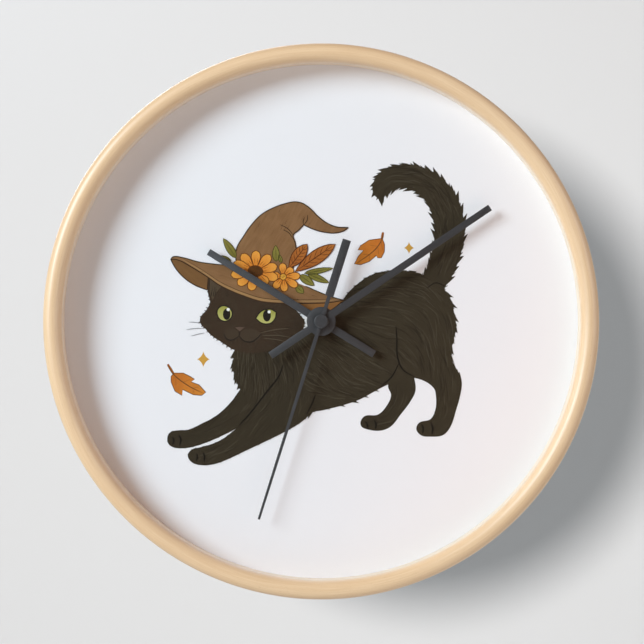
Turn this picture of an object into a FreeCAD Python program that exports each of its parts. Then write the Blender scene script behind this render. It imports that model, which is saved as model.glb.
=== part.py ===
import FreeCAD, Part
import math
import os

# Round wooden wall clock, millimetres. +Z is twelve o'clock, the dial faces -Y, the wall is the
# plane y = 0 and the origin is the centre of the hanging hole on that plane.
# Depths below are distances in front of the wall. Shapes are built about the clock's centre and
# moved down by hang_z when they are written.

# Wooden ring and what it holds
outer_r = 127.0
lip_r = 118.7
rebate_r = 121.5
disc_r = 121.2
frame_depth = 38.0
back_round = 1.0
lens_back, lens_front = 31.0, 33.0
sheet_front = 21.5
sheet_t = 0.3
board_back = 18.2
board_front = sheet_front - sheet_t
point_count = 8
point_t, point_w = 0.6, 8.0
point_in_r, point_out_r = 113.0, 125.0
hang_z = 36.5
hang_hole_r = 4.0

# Movement case
case_half = 28.0
wall = 1.2
case_front = 16.4
case_inner = case_front - wall
cover_back, cover_front = 2.0, 3.2
corner_r = 2.0
bush_r = 4.0
bush_end = 24.2
bay_top = -11.9
bay_wall = 0.9
stud_r = 1.0
boss_r = 2.0
screw_r = 0.8

# Shafts: each runs in the next with 0.05 of radial clearance
run = 0.05
arbor_r = 0.5
minute_r = 1.7
hour_r = 2.5

# Layers of the train, (back, front)
hour_layer = (14.1, 14.9)
motion_layer = (12.8, 13.6)
centre_layer = (11.5, 12.2)
third_layer = (10.2, 10.8)
middle_plate = (8.9, 9.7)
seconds_layer = (7.7, 8.3)
inter_layer = (6.5, 7.1)
rear_plate = (4.9, 5.7)

# Tooth counts and modules
hour_z, hour_m = 40, 0.36
rev_z, rev_m, rev_pinion_z = 36, 0.375, 10
cannon_z = 12
knob_z = 12
centre_z, centre_m = 64, 0.255
third_z, third_m = 60, 0.27
second_z, second_m = 40, 0.30
inter_z, inter_m = 48, 0.25
leaf_z = 8

# Hands: angles are clockwise from twelve
hub_r = 6.7
hour_angle, hour_len, hour_w, hour_tip_w, hour_tail = 301.7, 61.0, 3.5, 3.1, 28.7
minute_angle, minute_len, minute_w, minute_tip_w, minute_tail = 56.0, 93.7, 3.4, 3.1, 28.1
second_angle, second_len, second_w, second_tip_w = 197.5, 95.3, 1.8, 1.1
second_neck, bar_start, bar_end, bar_w = 1.75, 12.0, 39.3, 3.9
hour_plate = (25.3, 25.8)
minute_plate = (26.9, 27.4)
second_plate = (28.5, 28.8)
cap_r = 3.3
cap_front = 29.7

# Battery
cell_r, cell_len = 7.25, 50.5
cell_z, cell_depth = -19.35, 7.85


def polar(dist, degrees):
    a = math.radians(degrees)
    return (dist * math.cos(a), dist * math.sin(a))


centre_at = (0.0, 0.0)
step = polar(second_m * (second_z + leaf_z) / 2, 125)
inter_at = step
step = polar(inter_m * (inter_z + leaf_z) / 2, 150)
rotor_at = (inter_at[0] + step[0], inter_at[1] + step[1])
third_at = polar(third_m * (third_z + leaf_z) / 2, 20)
rev_at = polar(rev_m * (rev_z + cannon_z) / 2, 195)
step = polar(rev_m * (rev_z + knob_z) / 2, 175)
knob_at = (rev_at[0] + step[0], rev_at[1] + step[1])
pillars_at = [(1.0, 13.0), (12.5, -8.5), (-1.0, -9.9), (-20.5, 12.0)]
screws_at = [(24.5, 25.0), (-24.5, 25.0), (24.3, -8.5), (-24.5, 10.0)]
coil_z = 23.0


def vec(x, depth, z):
    return FreeCAD.Vector(x, -depth, z)


def rod(r, back, front, at=(0.0, 0.0)):
    return Part.makeCylinder(r, front - back, vec(at[0], back, at[1]), FreeCAD.Vector(0, -1, 0))


def ring(r_out, r_in, back, front, at=(0.0, 0.0)):
    return rod(r_out, back, front, at).cut(rod(r_in, back - 1, front + 1, at))


def block(x0, x1, back, front, z0, z1):
    return Part.makeBox(x1 - x0, front - back, z1 - z0, vec(x0, front, z0))


def prism(points, back, front):
    wire = Part.makePolygon([vec(x, back, z) for x, z in points + points[:1]])
    return Part.Face(wire).extrude(FreeCAD.Vector(0, back - front, 0))


def fuse(shapes):
    return shapes[0].multiFuse(shapes[1:]).removeSplitter()


def round_edges(shape, radius, test):
    return shape.makeFillet(radius, [e for e in shape.Edges if test(e)])


def along_y(edge):
    box = edge.BoundBox
    return box.XLength < 0.001 and box.ZLength < 0.001


def circle_at(radius, depth):
    def test(edge):
        c = edge.Curve
        if not isinstance(c, Part.Circle):
            return False
        return abs(c.Radius - radius) < 0.01 and abs(c.Center.y + depth) < 0.01
    return test


def save(name, shape):
    shape = shape.copy()
    shape.translate(FreeCAD.Vector(0, 0, -hang_z))
    shape.exportStep("parts/" + name + ".step")


# ---------------------------------------------------------------- toothed wheels
def tooth_points(z, m, phase, leaf):
    r = m * z / 2
    if leaf:
        tall, deep, half = 0.55 * m, 1.35 * m, 0.50 * m
    else:
        tall, deep, half = 0.95 * m, 1.05 * m, 0.66 * m
    tip = 0.26 * m
    side = [(r - deep, half / r), (r, half / r), (r + tall, tip / (r + tall))]
    points = []
    for i in range(z):
        a = phase + 2 * math.pi * i / z
        for rad, off in side:
            points.append((rad * math.cos(a - off), rad * math.sin(a - off)))
        for rad, off in reversed(side):
            points.append((rad * math.cos(a + off), rad * math.sin(a + off)))
    return points


def gear(z, m, phase, layer, at, leaf=False, extra=0.0):
    points = [(x + at[0], y + at[1]) for x, y in tooth_points(z, m, phase, leaf)]
    return prism(points, layer[0] - extra, layer[1] + extra)


def spokes(wheel, r_in, r_out, count, layer, at, width=1.1):
    """Opens windows between spokes in a wheel."""
    window = ring(r_out, r_in, layer[0] - 1, layer[1] + 1, at)
    for i in range(count):
        bar = block(-width / 2, width / 2, layer[0] - 2, layer[1] + 2, 0, r_out + 1)
        bar.rotate(FreeCAD.Vector(0, 0, 0), FreeCAD.Vector(0, 1, 0), 360.0 * i / count)
        bar.translate(FreeCAD.Vector(at[0], 0, at[1]))
        window = window.cut(bar)
    return wheel.cut(window)


def meshed(at_a, phase_a, z_a, at_b, z_b):
    """Phase of wheel b whose tooth stands in a gap of wheel a."""
    line = math.atan2(at_b[1] - at_a[1], at_b[0] - at_a[0])
    pitch = 2 * math.pi / z_a
    gap = phase_a + pitch / 2
    gap = gap + pitch * round((line - gap) / pitch)
    return line + math.pi - (gap - line) * z_a / z_b


third_phase = meshed(centre_at, 0.0, leaf_z, third_at, third_z)
centre_phase = meshed(third_at, 0.0, leaf_z, centre_at, centre_z)
inter_phase = meshed(centre_at, 0.0, second_z, inter_at, leaf_z)
rotor_phase = meshed(inter_at, 0.0, inter_z, rotor_at, leaf_z)
rev_phase = meshed(centre_at, 0.0, cannon_z, rev_at, rev_z)
hour_phase = meshed(rev_at, 0.0, rev_pinion_z, centre_at, hour_z)
knob_phase = meshed(rev_at, rev_phase, rev_z, knob_at, knob_z)


# ---------------------------------------------------------------- ring frame and dial
def point_tab(i, grow):
    tab = block(-point_w / 2, point_w / 2, board_back - point_t, board_back, point_in_r, point_out_r)
    tab.rotate(FreeCAD.Vector(0, 0, 0), FreeCAD.Vector(0, 1, 0), 360.0 * (i + 0.5) / point_count)
    return tab


def make_wood_frame():
    nose = (outer_r - lip_r) / 2
    mid = (outer_r + lip_r) / 2
    flat = frame_depth - nose
    b = back_round
    s = b * (1 - math.sqrt(0.5))
    lines = [
        Part.Arc(vec(outer_r - b, 0, 0), vec(outer_r - s, s, 0), vec(outer_r, b, 0)).toShape(),
        Part.makeLine(vec(outer_r, b, 0), vec(outer_r, flat, 0)),
        Part.Arc(vec(outer_r, flat, 0), vec(mid, frame_depth, 0), vec(lip_r, flat, 0)).toShape(),
        Part.makeLine(vec(lip_r, flat, 0), vec(lip_r, lens_front, 0)),
        Part.makeLine(vec(lip_r, lens_front, 0), vec(rebate_r, lens_front, 0)),
        Part.makeLine(vec(rebate_r, lens_front, 0), vec(rebate_r, 0, 0)),
        Part.makeLine(vec(rebate_r, 0, 0), vec(outer_r - b, 0, 0)),
    ]
    face = Part.Face(Part.Wire(lines))
    body = face.revolve(FreeCAD.Vector(0, 0, 0), FreeCAD.Vector(0, 1, 0), 360)
    for i in range(point_count):
        body = body.cut(point_tab(i, 0))
    return body


def make_lens():
    body = rod(disc_r, lens_back, lens_front)
    return body.makeChamfer(0.3, body.Edges)


def make_spacer_ring():
    return ring(disc_r, lip_r, sheet_front, lens_back)


def make_dial_sheet():
    return ring(disc_r, bush_r + 0.1, board_front, sheet_front)


def make_dial_board():
    return ring(disc_r, bush_r + 0.1, board_back, board_front)


def make_framing_points():
    return Part.makeCompound([point_tab(i, 0) for i in range(point_count)])


# ---------------------------------------------------------------- fixing of the movement
def make_hanger():
    t = 0.8
    front = case_front + t
    fork = block(-15, 15, case_front, front, -9, case_half + 1.2)
    fork = fork.cut(rod(bush_r + 0.1, case_front - 1, front + 1))
    top = block(-12, 12, 0, front, case_half + 0.4, case_half + 1.2)
    tab = block(-12, 12, 0, t, case_half + 0.4, hang_z + 8.5)
    body = fuse([fork, top, tab])
    body = body.cut(rod(hang_hole_r, -1, 2, (0, hang_z)))
    corner = lambda e: along_y(e) and e.BoundBox.ZMax > hang_z + 8 and e.Length < 1
    return round_edges(body, 4.0, corner)


def make_rubber_washer():
    return ring(12.0, bush_r + 0.05, case_front + 0.8, board_back)


def make_brass_washer():
    return ring(6.4, bush_r + 0.05, sheet_front, sheet_front + 0.5)


def make_mounting_nut():
    body = ring(6.1, bush_r + 0.03, sheet_front + 0.5, sheet_front + 2.3)
    slot = block(-7, 7, sheet_front + 1.7, sheet_front + 3, -0.7, 0.7)
    return body.cut(slot)


# ---------------------------------------------------------------- case
def make_movement_case():
    h = case_half
    body = block(-h, h, cover_front, case_front, -h, h)
    body = round_edges(body, corner_r, along_y)
    room = block(-h + wall, h - wall, 0, case_inner, bay_top + bay_wall, h - wall)
    bay = block(-h + wall, h - wall, 0, case_inner, -h + wall, bay_top)
    body = body.cut(round_edges(room, 0.8, along_y)).cut(round_edges(bay, 0.8, along_y))
    solids = [body, rod(bush_r, case_front, bush_end)]
    solids.append(rod(stud_r, motion_layer[0] - 0.4, case_inner, rev_at))
    for at in screws_at:
        solids.append(rod(boss_r, cover_front, case_inner, at))
    for at in ((23.5, 10.0), (23.5, -5.0)):
        solids.append(rod(1.4, 8.7, case_inner, at))
    body = fuse(solids)
    body = body.cut(rod(hour_r + run, case_inner - 1, bush_end + 1))
    body = body.cut(rod(0.45, case_inner - 1, case_inner + 0.8, third_at))
    body = body.cut(rod(0.85, case_inner - 1, case_inner + 0.8, knob_at))
    for at in screws_at:
        body = body.cut(rod(screw_r, cover_front - 1, 9.0, at))
    return body


def make_movement_cover():
    h = case_half
    plate = block(-h, h, cover_back, cover_front, bay_top, h)
    top_corner = lambda e: along_y(e) and e.BoundBox.ZMin > 0
    plate = round_edges(plate, corner_r, top_corner)
    plate = fuse([plate, rod(8.6, cover_back, 4.6, knob_at)])
    plate = plate.cut(rod(7.8, cover_back - 1, 3.8, knob_at))
    plate = plate.cut(rod(1.25, cover_back - 1, 6, knob_at))
    for at in screws_at:
        plate = plate.cut(rod(screw_r + 0.1, cover_back - 1, cover_front + 1, at))
    for i in range(5):
        x = 8.0 + 3.0 * i
        plate = plate.cut(block(x, x + 1.2, cover_back - 1, cover_back + 0.5, 2.0, 20.0))
    return plate


def make_cover_screws():
    parts = []
    for at in screws_at:
        head = rod(1.8, cover_back - 1.0, cover_back, at)
        head = round_edges(head, 0.5, circle_at(1.8, cover_back - 1.0))
        body = head.fuse(rod(screw_r, cover_back, 8.9, at))
        for a, b in ((1.2, 0.25), (0.25, 1.2)):
            cross = block(at[0] - a, at[0] + a, 0.5, cover_back - 0.5, at[1] - b, at[1] + b)
            body = body.cut(cross)
        parts.append(body)
    return Part.makeCompound(parts)


# ---------------------------------------------------------------- plates, pillars, electrics
plate_outline = [
    (-22.2, 15.0), (3.0, 14.9), (19.5, 9.0), (19.5, -2.0), (15.0, -10.9),
    (-3.0, -10.9), (-7.0, -6.0), (-13.5, 4.0), (-22.2, 9.0)]


def make_middle_plate():
    body = prism(plate_outline, *middle_plate)
    holes = [(arbor_r + run, centre_at), (0.45, third_at), (0.45, inter_at), (0.40, rotor_at)]
    holes += [(0.7, at) for at in pillars_at]
    for r, at in holes:
        body = body.cut(rod(r, middle_plate[0] - 1, middle_plate[1] + 1, at))
    return body


def make_rear_plate():
    body = prism(plate_outline, *rear_plate)
    holes = [(arbor_r + run, centre_at), (0.45, inter_at), (0.40, rotor_at)]
    holes += [(0.7, at) for at in pillars_at]
    for r, at in holes:
        body = body.cut(rod(r, rear_plate[0] - 1, rear_plate[1] + 1, at))
    return body.cut(rod(3.5, rear_plate[0] - 1, rear_plate[1] + 1, (9.5, 3.0)))


def make_pillars():
    parts = []
    for at in pillars_at:
        post = [rod(1.0, middle_plate[1], case_inner, at), rod(1.0, rear_plate[1], middle_plate[0], at)]
        post.append(rod(0.7, rear_plate[0], middle_plate[1], at))
        parts.append(fuse(post))
    return Part.makeCompound(parts)


def make_circuit_board():
    body = block(8.0, 26.0, 7.9, 8.7, -6.5, 12.0)
    return body.cut(rod(0.6, 7, 9, (10.0, 10.0)))


def make_chip():
    body = block(15.0, 19.0, 6.9, 7.9, 0.0, 4.0)
    return body.makeFillet(0.25, body.Edges)


def make_quartz_crystal():
    can = Part.makeCylinder(1.0, 6.0, vec(23.6, 6.85, 0.0), FreeCAD.Vector(0, 0, 1))
    leads = [Part.makeCylinder(0.15, 2.0, vec(x, 6.85, -2.0), FreeCAD.Vector(0, 0, 1)) for x in (23.2, 24.0)]
    return fuse([can] + leads)


def make_stator():
    layer = seconds_layer
    band = [(-8.5, 14.9), (-5.5, 17.5), (13.4, 17.5), (13.4, 24.3), (16.6, 24.3), (16.6, 14.9)]
    body = fuse([
        rod(5.0, layer[0], layer[1], rotor_at),
        prism([(-17.0, 24.3), (-13.8, 24.3), (-13.8, 6.4), (-17.0, 9.0)], *layer),
        prism([(-14.5, 6.8), (-9.0, 5.0), (-9.0, 14.0), (-14.5, 13.0)], *layer),
        prism([(-10.5, 10.0), (-6.5, 12.0), (-5.0, 15.2), (-9.0, 15.6)], *layer),
        prism(band, *layer)])
    body = body.cut(rod(3.4, layer[0] - 1, layer[1] + 1, rotor_at))
    for x in (-15.4, 15.0):
        body = body.cut(rod(0.55, layer[0] - 1, layer[1] + 1, (x, coil_z)))
    return body


def make_coil_core():
    body = block(-17.0, 16.6, seconds_layer[1], seconds_layer[1] + 1.0, coil_z - 1.0, coil_z + 1.0)
    for x in (-15.4, 15.0):
        body = body.cut(rod(0.55, 7, 10, (x, coil_z)))
    return body


def coil_rod(r, x0, x1):
    return Part.makeCylinder(r, x1 - x0, vec(x0, seconds_layer[1] + 0.5, coil_z), FreeCAD.Vector(1, 0, 0))


def make_coil_bobbin():
    body = fuse([coil_rod(1.7, -12, 12), coil_rod(3.2, -12, -11), coil_rod(3.2, 11, 12)])
    d = seconds_layer[1] + 0.5
    return body.cut(block(-13, 13, d - 0.55, d + 0.55, coil_z - 1.05, coil_z + 1.05))


def make_coil_winding():
    return coil_rod(2.9, -11, 11).cut(coil_rod(1.7, -12, 12))


def make_stator_screws():
    parts = []
    for x in (-15.4, 15.0):
        at = (x, coil_z)
        head = rod(1.1, seconds_layer[0] - 0.8, seconds_layer[0], at)
        body = head.fuse(rod(0.5, seconds_layer[0], seconds_layer[1] + 1.6, at))
        slot = block(x - 1.2, x + 1.2, 6.0, seconds_layer[0] - 0.4, coil_z - 0.15, coil_z + 0.15)
        parts.append(body.cut(slot))
    return Part.makeCompound(parts)


# ---------------------------------------------------------------- battery and contacts
def make_battery():
    def length(r, x0, x1):
        return Part.makeCylinder(r, x1 - x0, vec(x0, cell_depth, cell_z), FreeCAD.Vector(1, 0, 0))
    half = cell_len / 2
    can = length(cell_r, -half + 0.4, half - 1.6)
    can = can.makeFillet(0.6, [e for e in can.Edges if isinstance(e.Curve, Part.Circle)])
    base = length(5.2, -half, -half + 0.6)
    nub = length(2.6, half - 1.8, half)
    return fuse([can, base, nub])


def make_negative_contact():
    z = cell_z
    plate = block(-26.8, -26.4, 4.0, 14.0, z - 6.0, z + 6.0)
    leaf = [(-26.5, z - 4.5), (-25.8, z - 0.8), (-25.4, z), (-25.8, z + 0.8), (-26.5, z + 4.5)]
    leaf += [(-26.5, z + 4.0), (-26.1, z + 0.7), (-26.1, z - 0.7), (-26.5, z - 4.0)]
    return fuse([plate, prism(leaf, 5.5, 10.2)])


def make_positive_contact():
    z = cell_z
    plate = block(26.4, 26.8, 4.0, 14.0, z - 5.0, z + 5.0)
    dimple = Part.makeCone(2.8, 1.8, 1.0, vec(26.4, cell_depth, z), FreeCAD.Vector(-1, 0, 0))
    return fuse([plate, dimple])


# ---------------------------------------------------------------- rotating train
def make_rotor():
    pinion = gear(leaf_z, inter_m, rotor_phase, inter_layer, rotor_at, True, 0.2)
    magnet = rod(2.8, 7.45, 8.6, rotor_at)
    hub = rod(0.9, 7.3, 7.45, rotor_at)
    return fuse([pinion, hub, magnet, rod(0.35, 5.1, 9.5, rotor_at)])


def make_intermediate_wheel():
    wheel = gear(inter_z, inter_m, 0.0, inter_layer, inter_at)
    wheel = spokes(wheel, 1.6, 4.9, 4, inter_layer, inter_at)
    pinion = gear(leaf_z, second_m, inter_phase, (7.1, 8.5), inter_at, True)
    return fuse([wheel, pinion, rod(0.4, 5.1, 9.5, inter_at)])


def make_seconds_wheel():
    wheel = gear(second_z, second_m, 0.0, seconds_layer, centre_at)
    wheel = spokes(wheel, 1.6, 4.7, 4, seconds_layer, centre_at)
    pinion = gear(leaf_z, third_m, 0.0, third_layer, centre_at, True, 0.2)
    return fuse([wheel, pinion, rod(1.0, 8.3, 8.6, centre_at), rod(arbor_r, 5.1, 28.9, centre_at)])


def make_third_wheel():
    wheel = gear(third_z, third_m, third_phase, third_layer, third_at)
    wheel = spokes(wheel, 1.6, 6.6, 5, third_layer, third_at)
    pinion = gear(leaf_z, centre_m, 0.0, (10.8, 12.4), third_at, True)
    return fuse([wheel, pinion, rod(0.4, 9.1, 15.9, third_at)])


def make_minute_wheel():
    wheel = gear(centre_z, centre_m, centre_phase, centre_layer, centre_at)
    wheel = spokes(wheel, 2.8, 6.7, 5, centre_layer, centre_at)
    cannon = gear(cannon_z, rev_m, 0.0, (12.2, 13.7), centre_at, True)
    body = fuse([wheel, cannon, rod(minute_r, centre_layer[0], 27.6)])
    return body.cut(rod(arbor_r + run, 5, 30))


def make_reversal_wheel():
    wheel = gear(rev_z, rev_m, rev_phase, motion_layer, rev_at)
    wheel = spokes(wheel, 2.4, 5.3, 4, motion_layer, rev_at)
    pinion = gear(rev_pinion_z, hour_m, 0.0, (motion_layer[1], 15.0), rev_at, True)
    return fuse([wheel, pinion]).cut(rod(stud_r + run, 10, 16, rev_at))


def make_hour_wheel():
    wheel = gear(hour_z, hour_m, hour_phase, hour_layer, centre_at)
    wheel = spokes(wheel, 3.4, 5.9, 4, hour_layer, centre_at)
    body = fuse([wheel, rod(hour_r, hour_layer[0], hour_plate[1])])
    return body.cut(rod(minute_r + run, 10, 30))


def make_setting_knob():
    pinion = gear(knob_z, rev_m, knob_phase, (12.6, 13.8), knob_at, True)
    shaft = [rod(1.2, 3.5, 12.6, knob_at), rod(0.8, 13.8, 15.9, knob_at)]
    disc = rod(7.2, 0.9, 3.5, knob_at)
    disc = disc.makeChamfer(0.3, [e for e in disc.Edges if isinstance(e.Curve, Part.Circle)])
    for i in range(24):
        x, z = polar(7.35, 15.0 * i)
        disc = disc.cut(rod(0.45, 0, 4, (knob_at[0] + x, knob_at[1] + z)))
    for a, b in ((3.4, 0.5), (0.5, 3.4)):
        x, z = knob_at
        disc = disc.cut(block(x - a, x + a, 0.5, 1.4, z - b, z + b))
    return fuse([pinion, disc] + shaft)


# ---------------------------------------------------------------- hands
def strip(w_near, w_far, near, far, layer):
    points = [(-w_near / 2, near), (w_near / 2, near), (w_far / 2, far), (-w_far / 2, far)]
    return prism(points, *layer)


def turned(shape, degrees):
    shape.rotate(FreeCAD.Vector(0, 0, 0), FreeCAD.Vector(0, 1, 0), degrees)
    return shape


def make_hour_hand():
    boss = rod(3.4, hour_plate[0] - 0.7, hour_plate[0])
    body = fuse([
        strip(hour_w, hour_tip_w, 0, hour_len, hour_plate),
        strip(hour_w, hour_w, -hour_tail, 0, hour_plate),
        rod(hub_r, *hour_plate), boss])
    return turned(body.cut(rod(hour_r, 20, 30)), hour_angle)


def make_minute_hand():
    boss = rod(2.8, minute_plate[0] - 0.6, minute_plate[0])
    body = fuse([
        strip(minute_w, minute_tip_w, 0, minute_len, minute_plate),
        strip(minute_w, minute_w, -minute_tail, 0, minute_plate),
        rod(hub_r, *minute_plate), boss])
    return turned(body.cut(rod(minute_r, 20, 30)), minute_angle)


def make_seconds_hand():
    rivet = rod(1.1, second_plate[0] - 0.5, second_plate[0])
    body = fuse([
        strip(second_w, second_tip_w, 0, second_len, second_plate),
        strip(second_neck, second_neck, -bar_start - 1, 0, second_plate),
        strip(bar_w, bar_w, -bar_end, -bar_start, second_plate),
        rod(2.2, *second_plate), rivet])
    return turned(body.cut(rod(arbor_r, 20, 30)), second_angle)


def make_seconds_cap():
    body = rod(cap_r, second_plate[1], cap_front)
    body = round_edges(body, 0.4, circle_at(cap_r, cap_front))
    return body.cut(rod(arbor_r, 28, 29))


MAKERS = {
    "wood_frame": make_wood_frame,
    "clear_front": make_lens,
    "spacer_ring": make_spacer_ring,
    "dial_sheet": make_dial_sheet,
    "dial_board": make_dial_board,
    "framing_points": make_framing_points,
    "hanger": make_hanger,
    "rubber_washer": make_rubber_washer,
    "brass_washer": make_brass_washer,
    "mounting_nut": make_mounting_nut,
    "movement_case": make_movement_case,
    "movement_cover": make_movement_cover,
    "cover_screws": make_cover_screws,
    "middle_plate": make_middle_plate,
    "rear_plate": make_rear_plate,
    "pillars": make_pillars,
    "circuit_board": make_circuit_board,
    "chip": make_chip,
    "quartz_crystal": make_quartz_crystal,
    "stator": make_stator,
    "coil_core": make_coil_core,
    "coil_bobbin": make_coil_bobbin,
    "coil_winding": make_coil_winding,
    "stator_screws": make_stator_screws,
    "battery": make_battery,
    "negative_contact": make_negative_contact,
    "positive_contact": make_positive_contact,
    "rotor": make_rotor,
    "intermediate_wheel": make_intermediate_wheel,
    "seconds_wheel": make_seconds_wheel,
    "third_wheel": make_third_wheel,
    "minute_wheel": make_minute_wheel,
    "reversal_wheel": make_reversal_wheel,
    "hour_wheel": make_hour_wheel,
    "setting_knob": make_setting_knob,
    "hour_hand": make_hour_hand,
    "minute_hand": make_minute_hand,
    "seconds_hand": make_seconds_hand,
    "seconds_cap": make_seconds_cap,
}

os.makedirs("parts", exist_ok=True)
for node, maker in MAKERS.items():
    save(node, maker())
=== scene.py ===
"""Looks of a round wooden wall clock with a printed cat on its dial and a quartz movement behind it.

All shape positions below are millimetres from the hands' axis, x to the right and z up as seen from the
front; d is the distance in front of the wall. place() turns them into the frame's metres.
"""

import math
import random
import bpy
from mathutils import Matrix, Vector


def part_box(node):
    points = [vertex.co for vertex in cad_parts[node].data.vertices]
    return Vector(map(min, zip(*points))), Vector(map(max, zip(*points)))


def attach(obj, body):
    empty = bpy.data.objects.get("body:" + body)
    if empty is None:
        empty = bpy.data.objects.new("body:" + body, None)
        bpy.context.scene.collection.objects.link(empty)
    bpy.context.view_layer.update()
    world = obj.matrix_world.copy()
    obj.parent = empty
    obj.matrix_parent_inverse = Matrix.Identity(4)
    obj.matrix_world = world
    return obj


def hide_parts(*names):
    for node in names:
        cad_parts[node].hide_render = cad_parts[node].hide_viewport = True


bl_info = {
    "name": "Cat dial wall clock",
    "version": (1, 0, 0),
    "blender": (4, 5, 0),
    "location": "View3D > Sidebar > Wall clock",
    "description": "Dresses a wooden wall clock: bent wood frame, printed cat dial, painted hands, quartz movement",
    "category": "Object",
}

import bmesh
import bpy
from mathutils import Matrix, Vector

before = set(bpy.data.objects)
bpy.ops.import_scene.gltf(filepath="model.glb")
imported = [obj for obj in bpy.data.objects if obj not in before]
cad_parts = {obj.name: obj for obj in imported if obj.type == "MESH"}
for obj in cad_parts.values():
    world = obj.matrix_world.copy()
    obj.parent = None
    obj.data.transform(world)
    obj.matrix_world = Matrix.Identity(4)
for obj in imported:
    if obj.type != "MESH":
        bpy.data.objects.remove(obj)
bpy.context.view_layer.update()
MM = 0.001  # one millimetre in the frame's metres


def middle(node):
    """The x and z of a node's middle, in metres."""
    low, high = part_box(node)
    return (low[0] + high[0]) / 2, (low[2] + high[2]) / 2


def front(node):
    """How far a node reaches in front of the wall, in mm."""
    return -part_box(node)[0][1] / MM


def radius(node):
    """A round node's outer radius, in mm."""
    return (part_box(node)[1][0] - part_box(node)[0][0]) / 2 / MM


AXIS = middle("seconds_cap")  # the hands' axis
SHEET = front("dial_sheet")  # the paper's printed face
BEZEL = radius("wood_frame")  # outer radius of the frame
BUSHING_HOLE = 4.15  # radius of the hole in the paper, which stays clear of ink
NO_FUR = 5  # radius round the axis with no drawn hairs
HOUR_ANGLE, MINUTE_ANGLE, SECONDS_ANGLE = 301.7, 56.0, 197.5  # degrees clockwise from twelve at rest


def place(x, z, d):
    """A spot in the frame from millimetres right of, above and in front of the hands' axis at the wall."""
    return Vector((AXIS[0] + x * MM, -d * MM, AXIS[1] + z * MM))


def linear(code):
    """An sRGB hex colour as the linear colour that Blender works in."""
    parts = [int(code[i:i + 2], 16) / 255 for i in (1, 3, 5)]
    return tuple(c / 12.92 if c <= 0.04045 else ((c + 0.055) / 1.055) ** 2.4 for c in parts)


def rgba(colour):
    """A linear colour with full alpha, as a socket takes it."""
    return (*colour, 1.0)


def shade(code):
    """An sRGB hex colour, as a socket takes it."""
    return rgba(linear(code))


# ------------------------------------------------------------------ sizes and colours to change
def size(name, text, default):
    return bpy.props.FloatProperty(name=name, description=text, default=default, min=0.0, precision=5,
                                   subtype="DISTANCE", unit="LENGTH")


def colour(name, text, code):
    return bpy.props.FloatVectorProperty(name=name, description=text, default=linear(code), size=3, min=0.0, max=1.0,
                                         subtype="COLOR")


class ClockSizes(bpy.types.PropertyGroup):
    nose: size("Nose radius", "Radius of the frame's rounded front edge", 0.00415)
    rebate: size("Rebate radius", "Radius that the dial and the clear front sit in", 0.1215)
    back_round: size("Back edge rounding", "Rounding of the frame's outer back edge", 0.001)
    hub: size("Hub radius", "Radius of the round middle of the hour and minute hands", 0.0067)
    cap: size("Cap radius", "Radius of the seconds hand's cap", 0.0033)
    edge: size("Hand edge rounding", "Rounding of the stamped hands' edges", 0.00014)
    ink: size("Ink step", "Step between one printed layer and the next", 0.000028)
    hair: size("Hair length", "Mean length of the drawn hairs", 0.0030)
    tuft: size("Tuft length", "Mean length of the tufts at the fur's edge", 0.0014)
    camera: size("Camera distance", "From the camera to the frame's front edge", 1.0)
    view: size("View width", "Width of the picture at the frame's front edge", 0.2942)


class ClockColours(bpy.types.PropertyGroup):
    wood: colour("Wood", "Pale bent wood of the frame", "#eccba1")
    wood_dark: colour("Wood grain", "Darker grain of the frame", "#d4aa7b")
    spacer: colour("Spacer", "Paler ring between the dial and the clear front", "#f4dec2")
    paper: colour("Paper", "Unprinted paper", "#f3f3f5")
    hands: colour("Hands", "Paint of the hands", "#353638")
    fur: colour("Fur", "Body, legs and tail", "#3a3325")
    fur_head: colour("Head fur", "Head", "#3e3124")
    fur_light: colour("Light hairs", "Lighter drawn hairs", "#474032")
    fur_dark: colour("Dark hairs", "Darker drawn hairs", "#2a241a")
    hat: colour("Hat", "Top of the hat", "#8e6b48")
    hat_dark: colour("Hat shade", "Darker brush strokes on the hat", "#755333")
    under: colour("Hat underside", "Underside of the brim", "#7c5a36")
    outline: colour("Outline", "Drawn outlines", "#3b2b1c")
    petal: colour("Petal", "Petals near the middle", "#d67d28")
    petal_tip: colour("Petal tip", "Tips of the petals", "#eaa748")
    disc: colour("Flower disc", "Middle of the large flower", "#5d3a17")
    green: colour("Green leaf", "Olive green leaves", "#787030")
    green_tip: colour("Green leaf tip", "Tips of the olive leaves", "#8f8741")
    rust: colour("Rust leaf", "Feathery autumn leaves", "#a35f28")
    rust_tip: colour("Rust leaf tip", "Tips of the feathery leaves", "#bd7434")
    gold: colour("Gold", "Sparkles", "#d2a148")
    eye: colour("Eye", "Upper part of the iris", "#9c9c48")
    eye_low: colour("Lower eye", "Lower rim of the iris", "#c6c479")


# ------------------------------------------------------------------ materials
def fresh(name):
    """A new, empty node material."""
    material = bpy.data.materials.new(name)
    material.use_nodes = True
    material.node_tree.nodes.clear()
    return material


def add(owner, kind, sockets=None, **settings):
    """Add one node to a material or a world with its settings, and set or link its sockets."""
    made = owner.node_tree.nodes.new("ShaderNode" + kind)
    for key, value in settings.items():
        setattr(made, key, value)
    for key, value in (sockets or {}).items():
        if isinstance(value, bpy.types.NodeSocket):
            owner.node_tree.links.new(value, made.inputs[key])
        else:
            made.inputs[key].default_value = value
    return made


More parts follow.
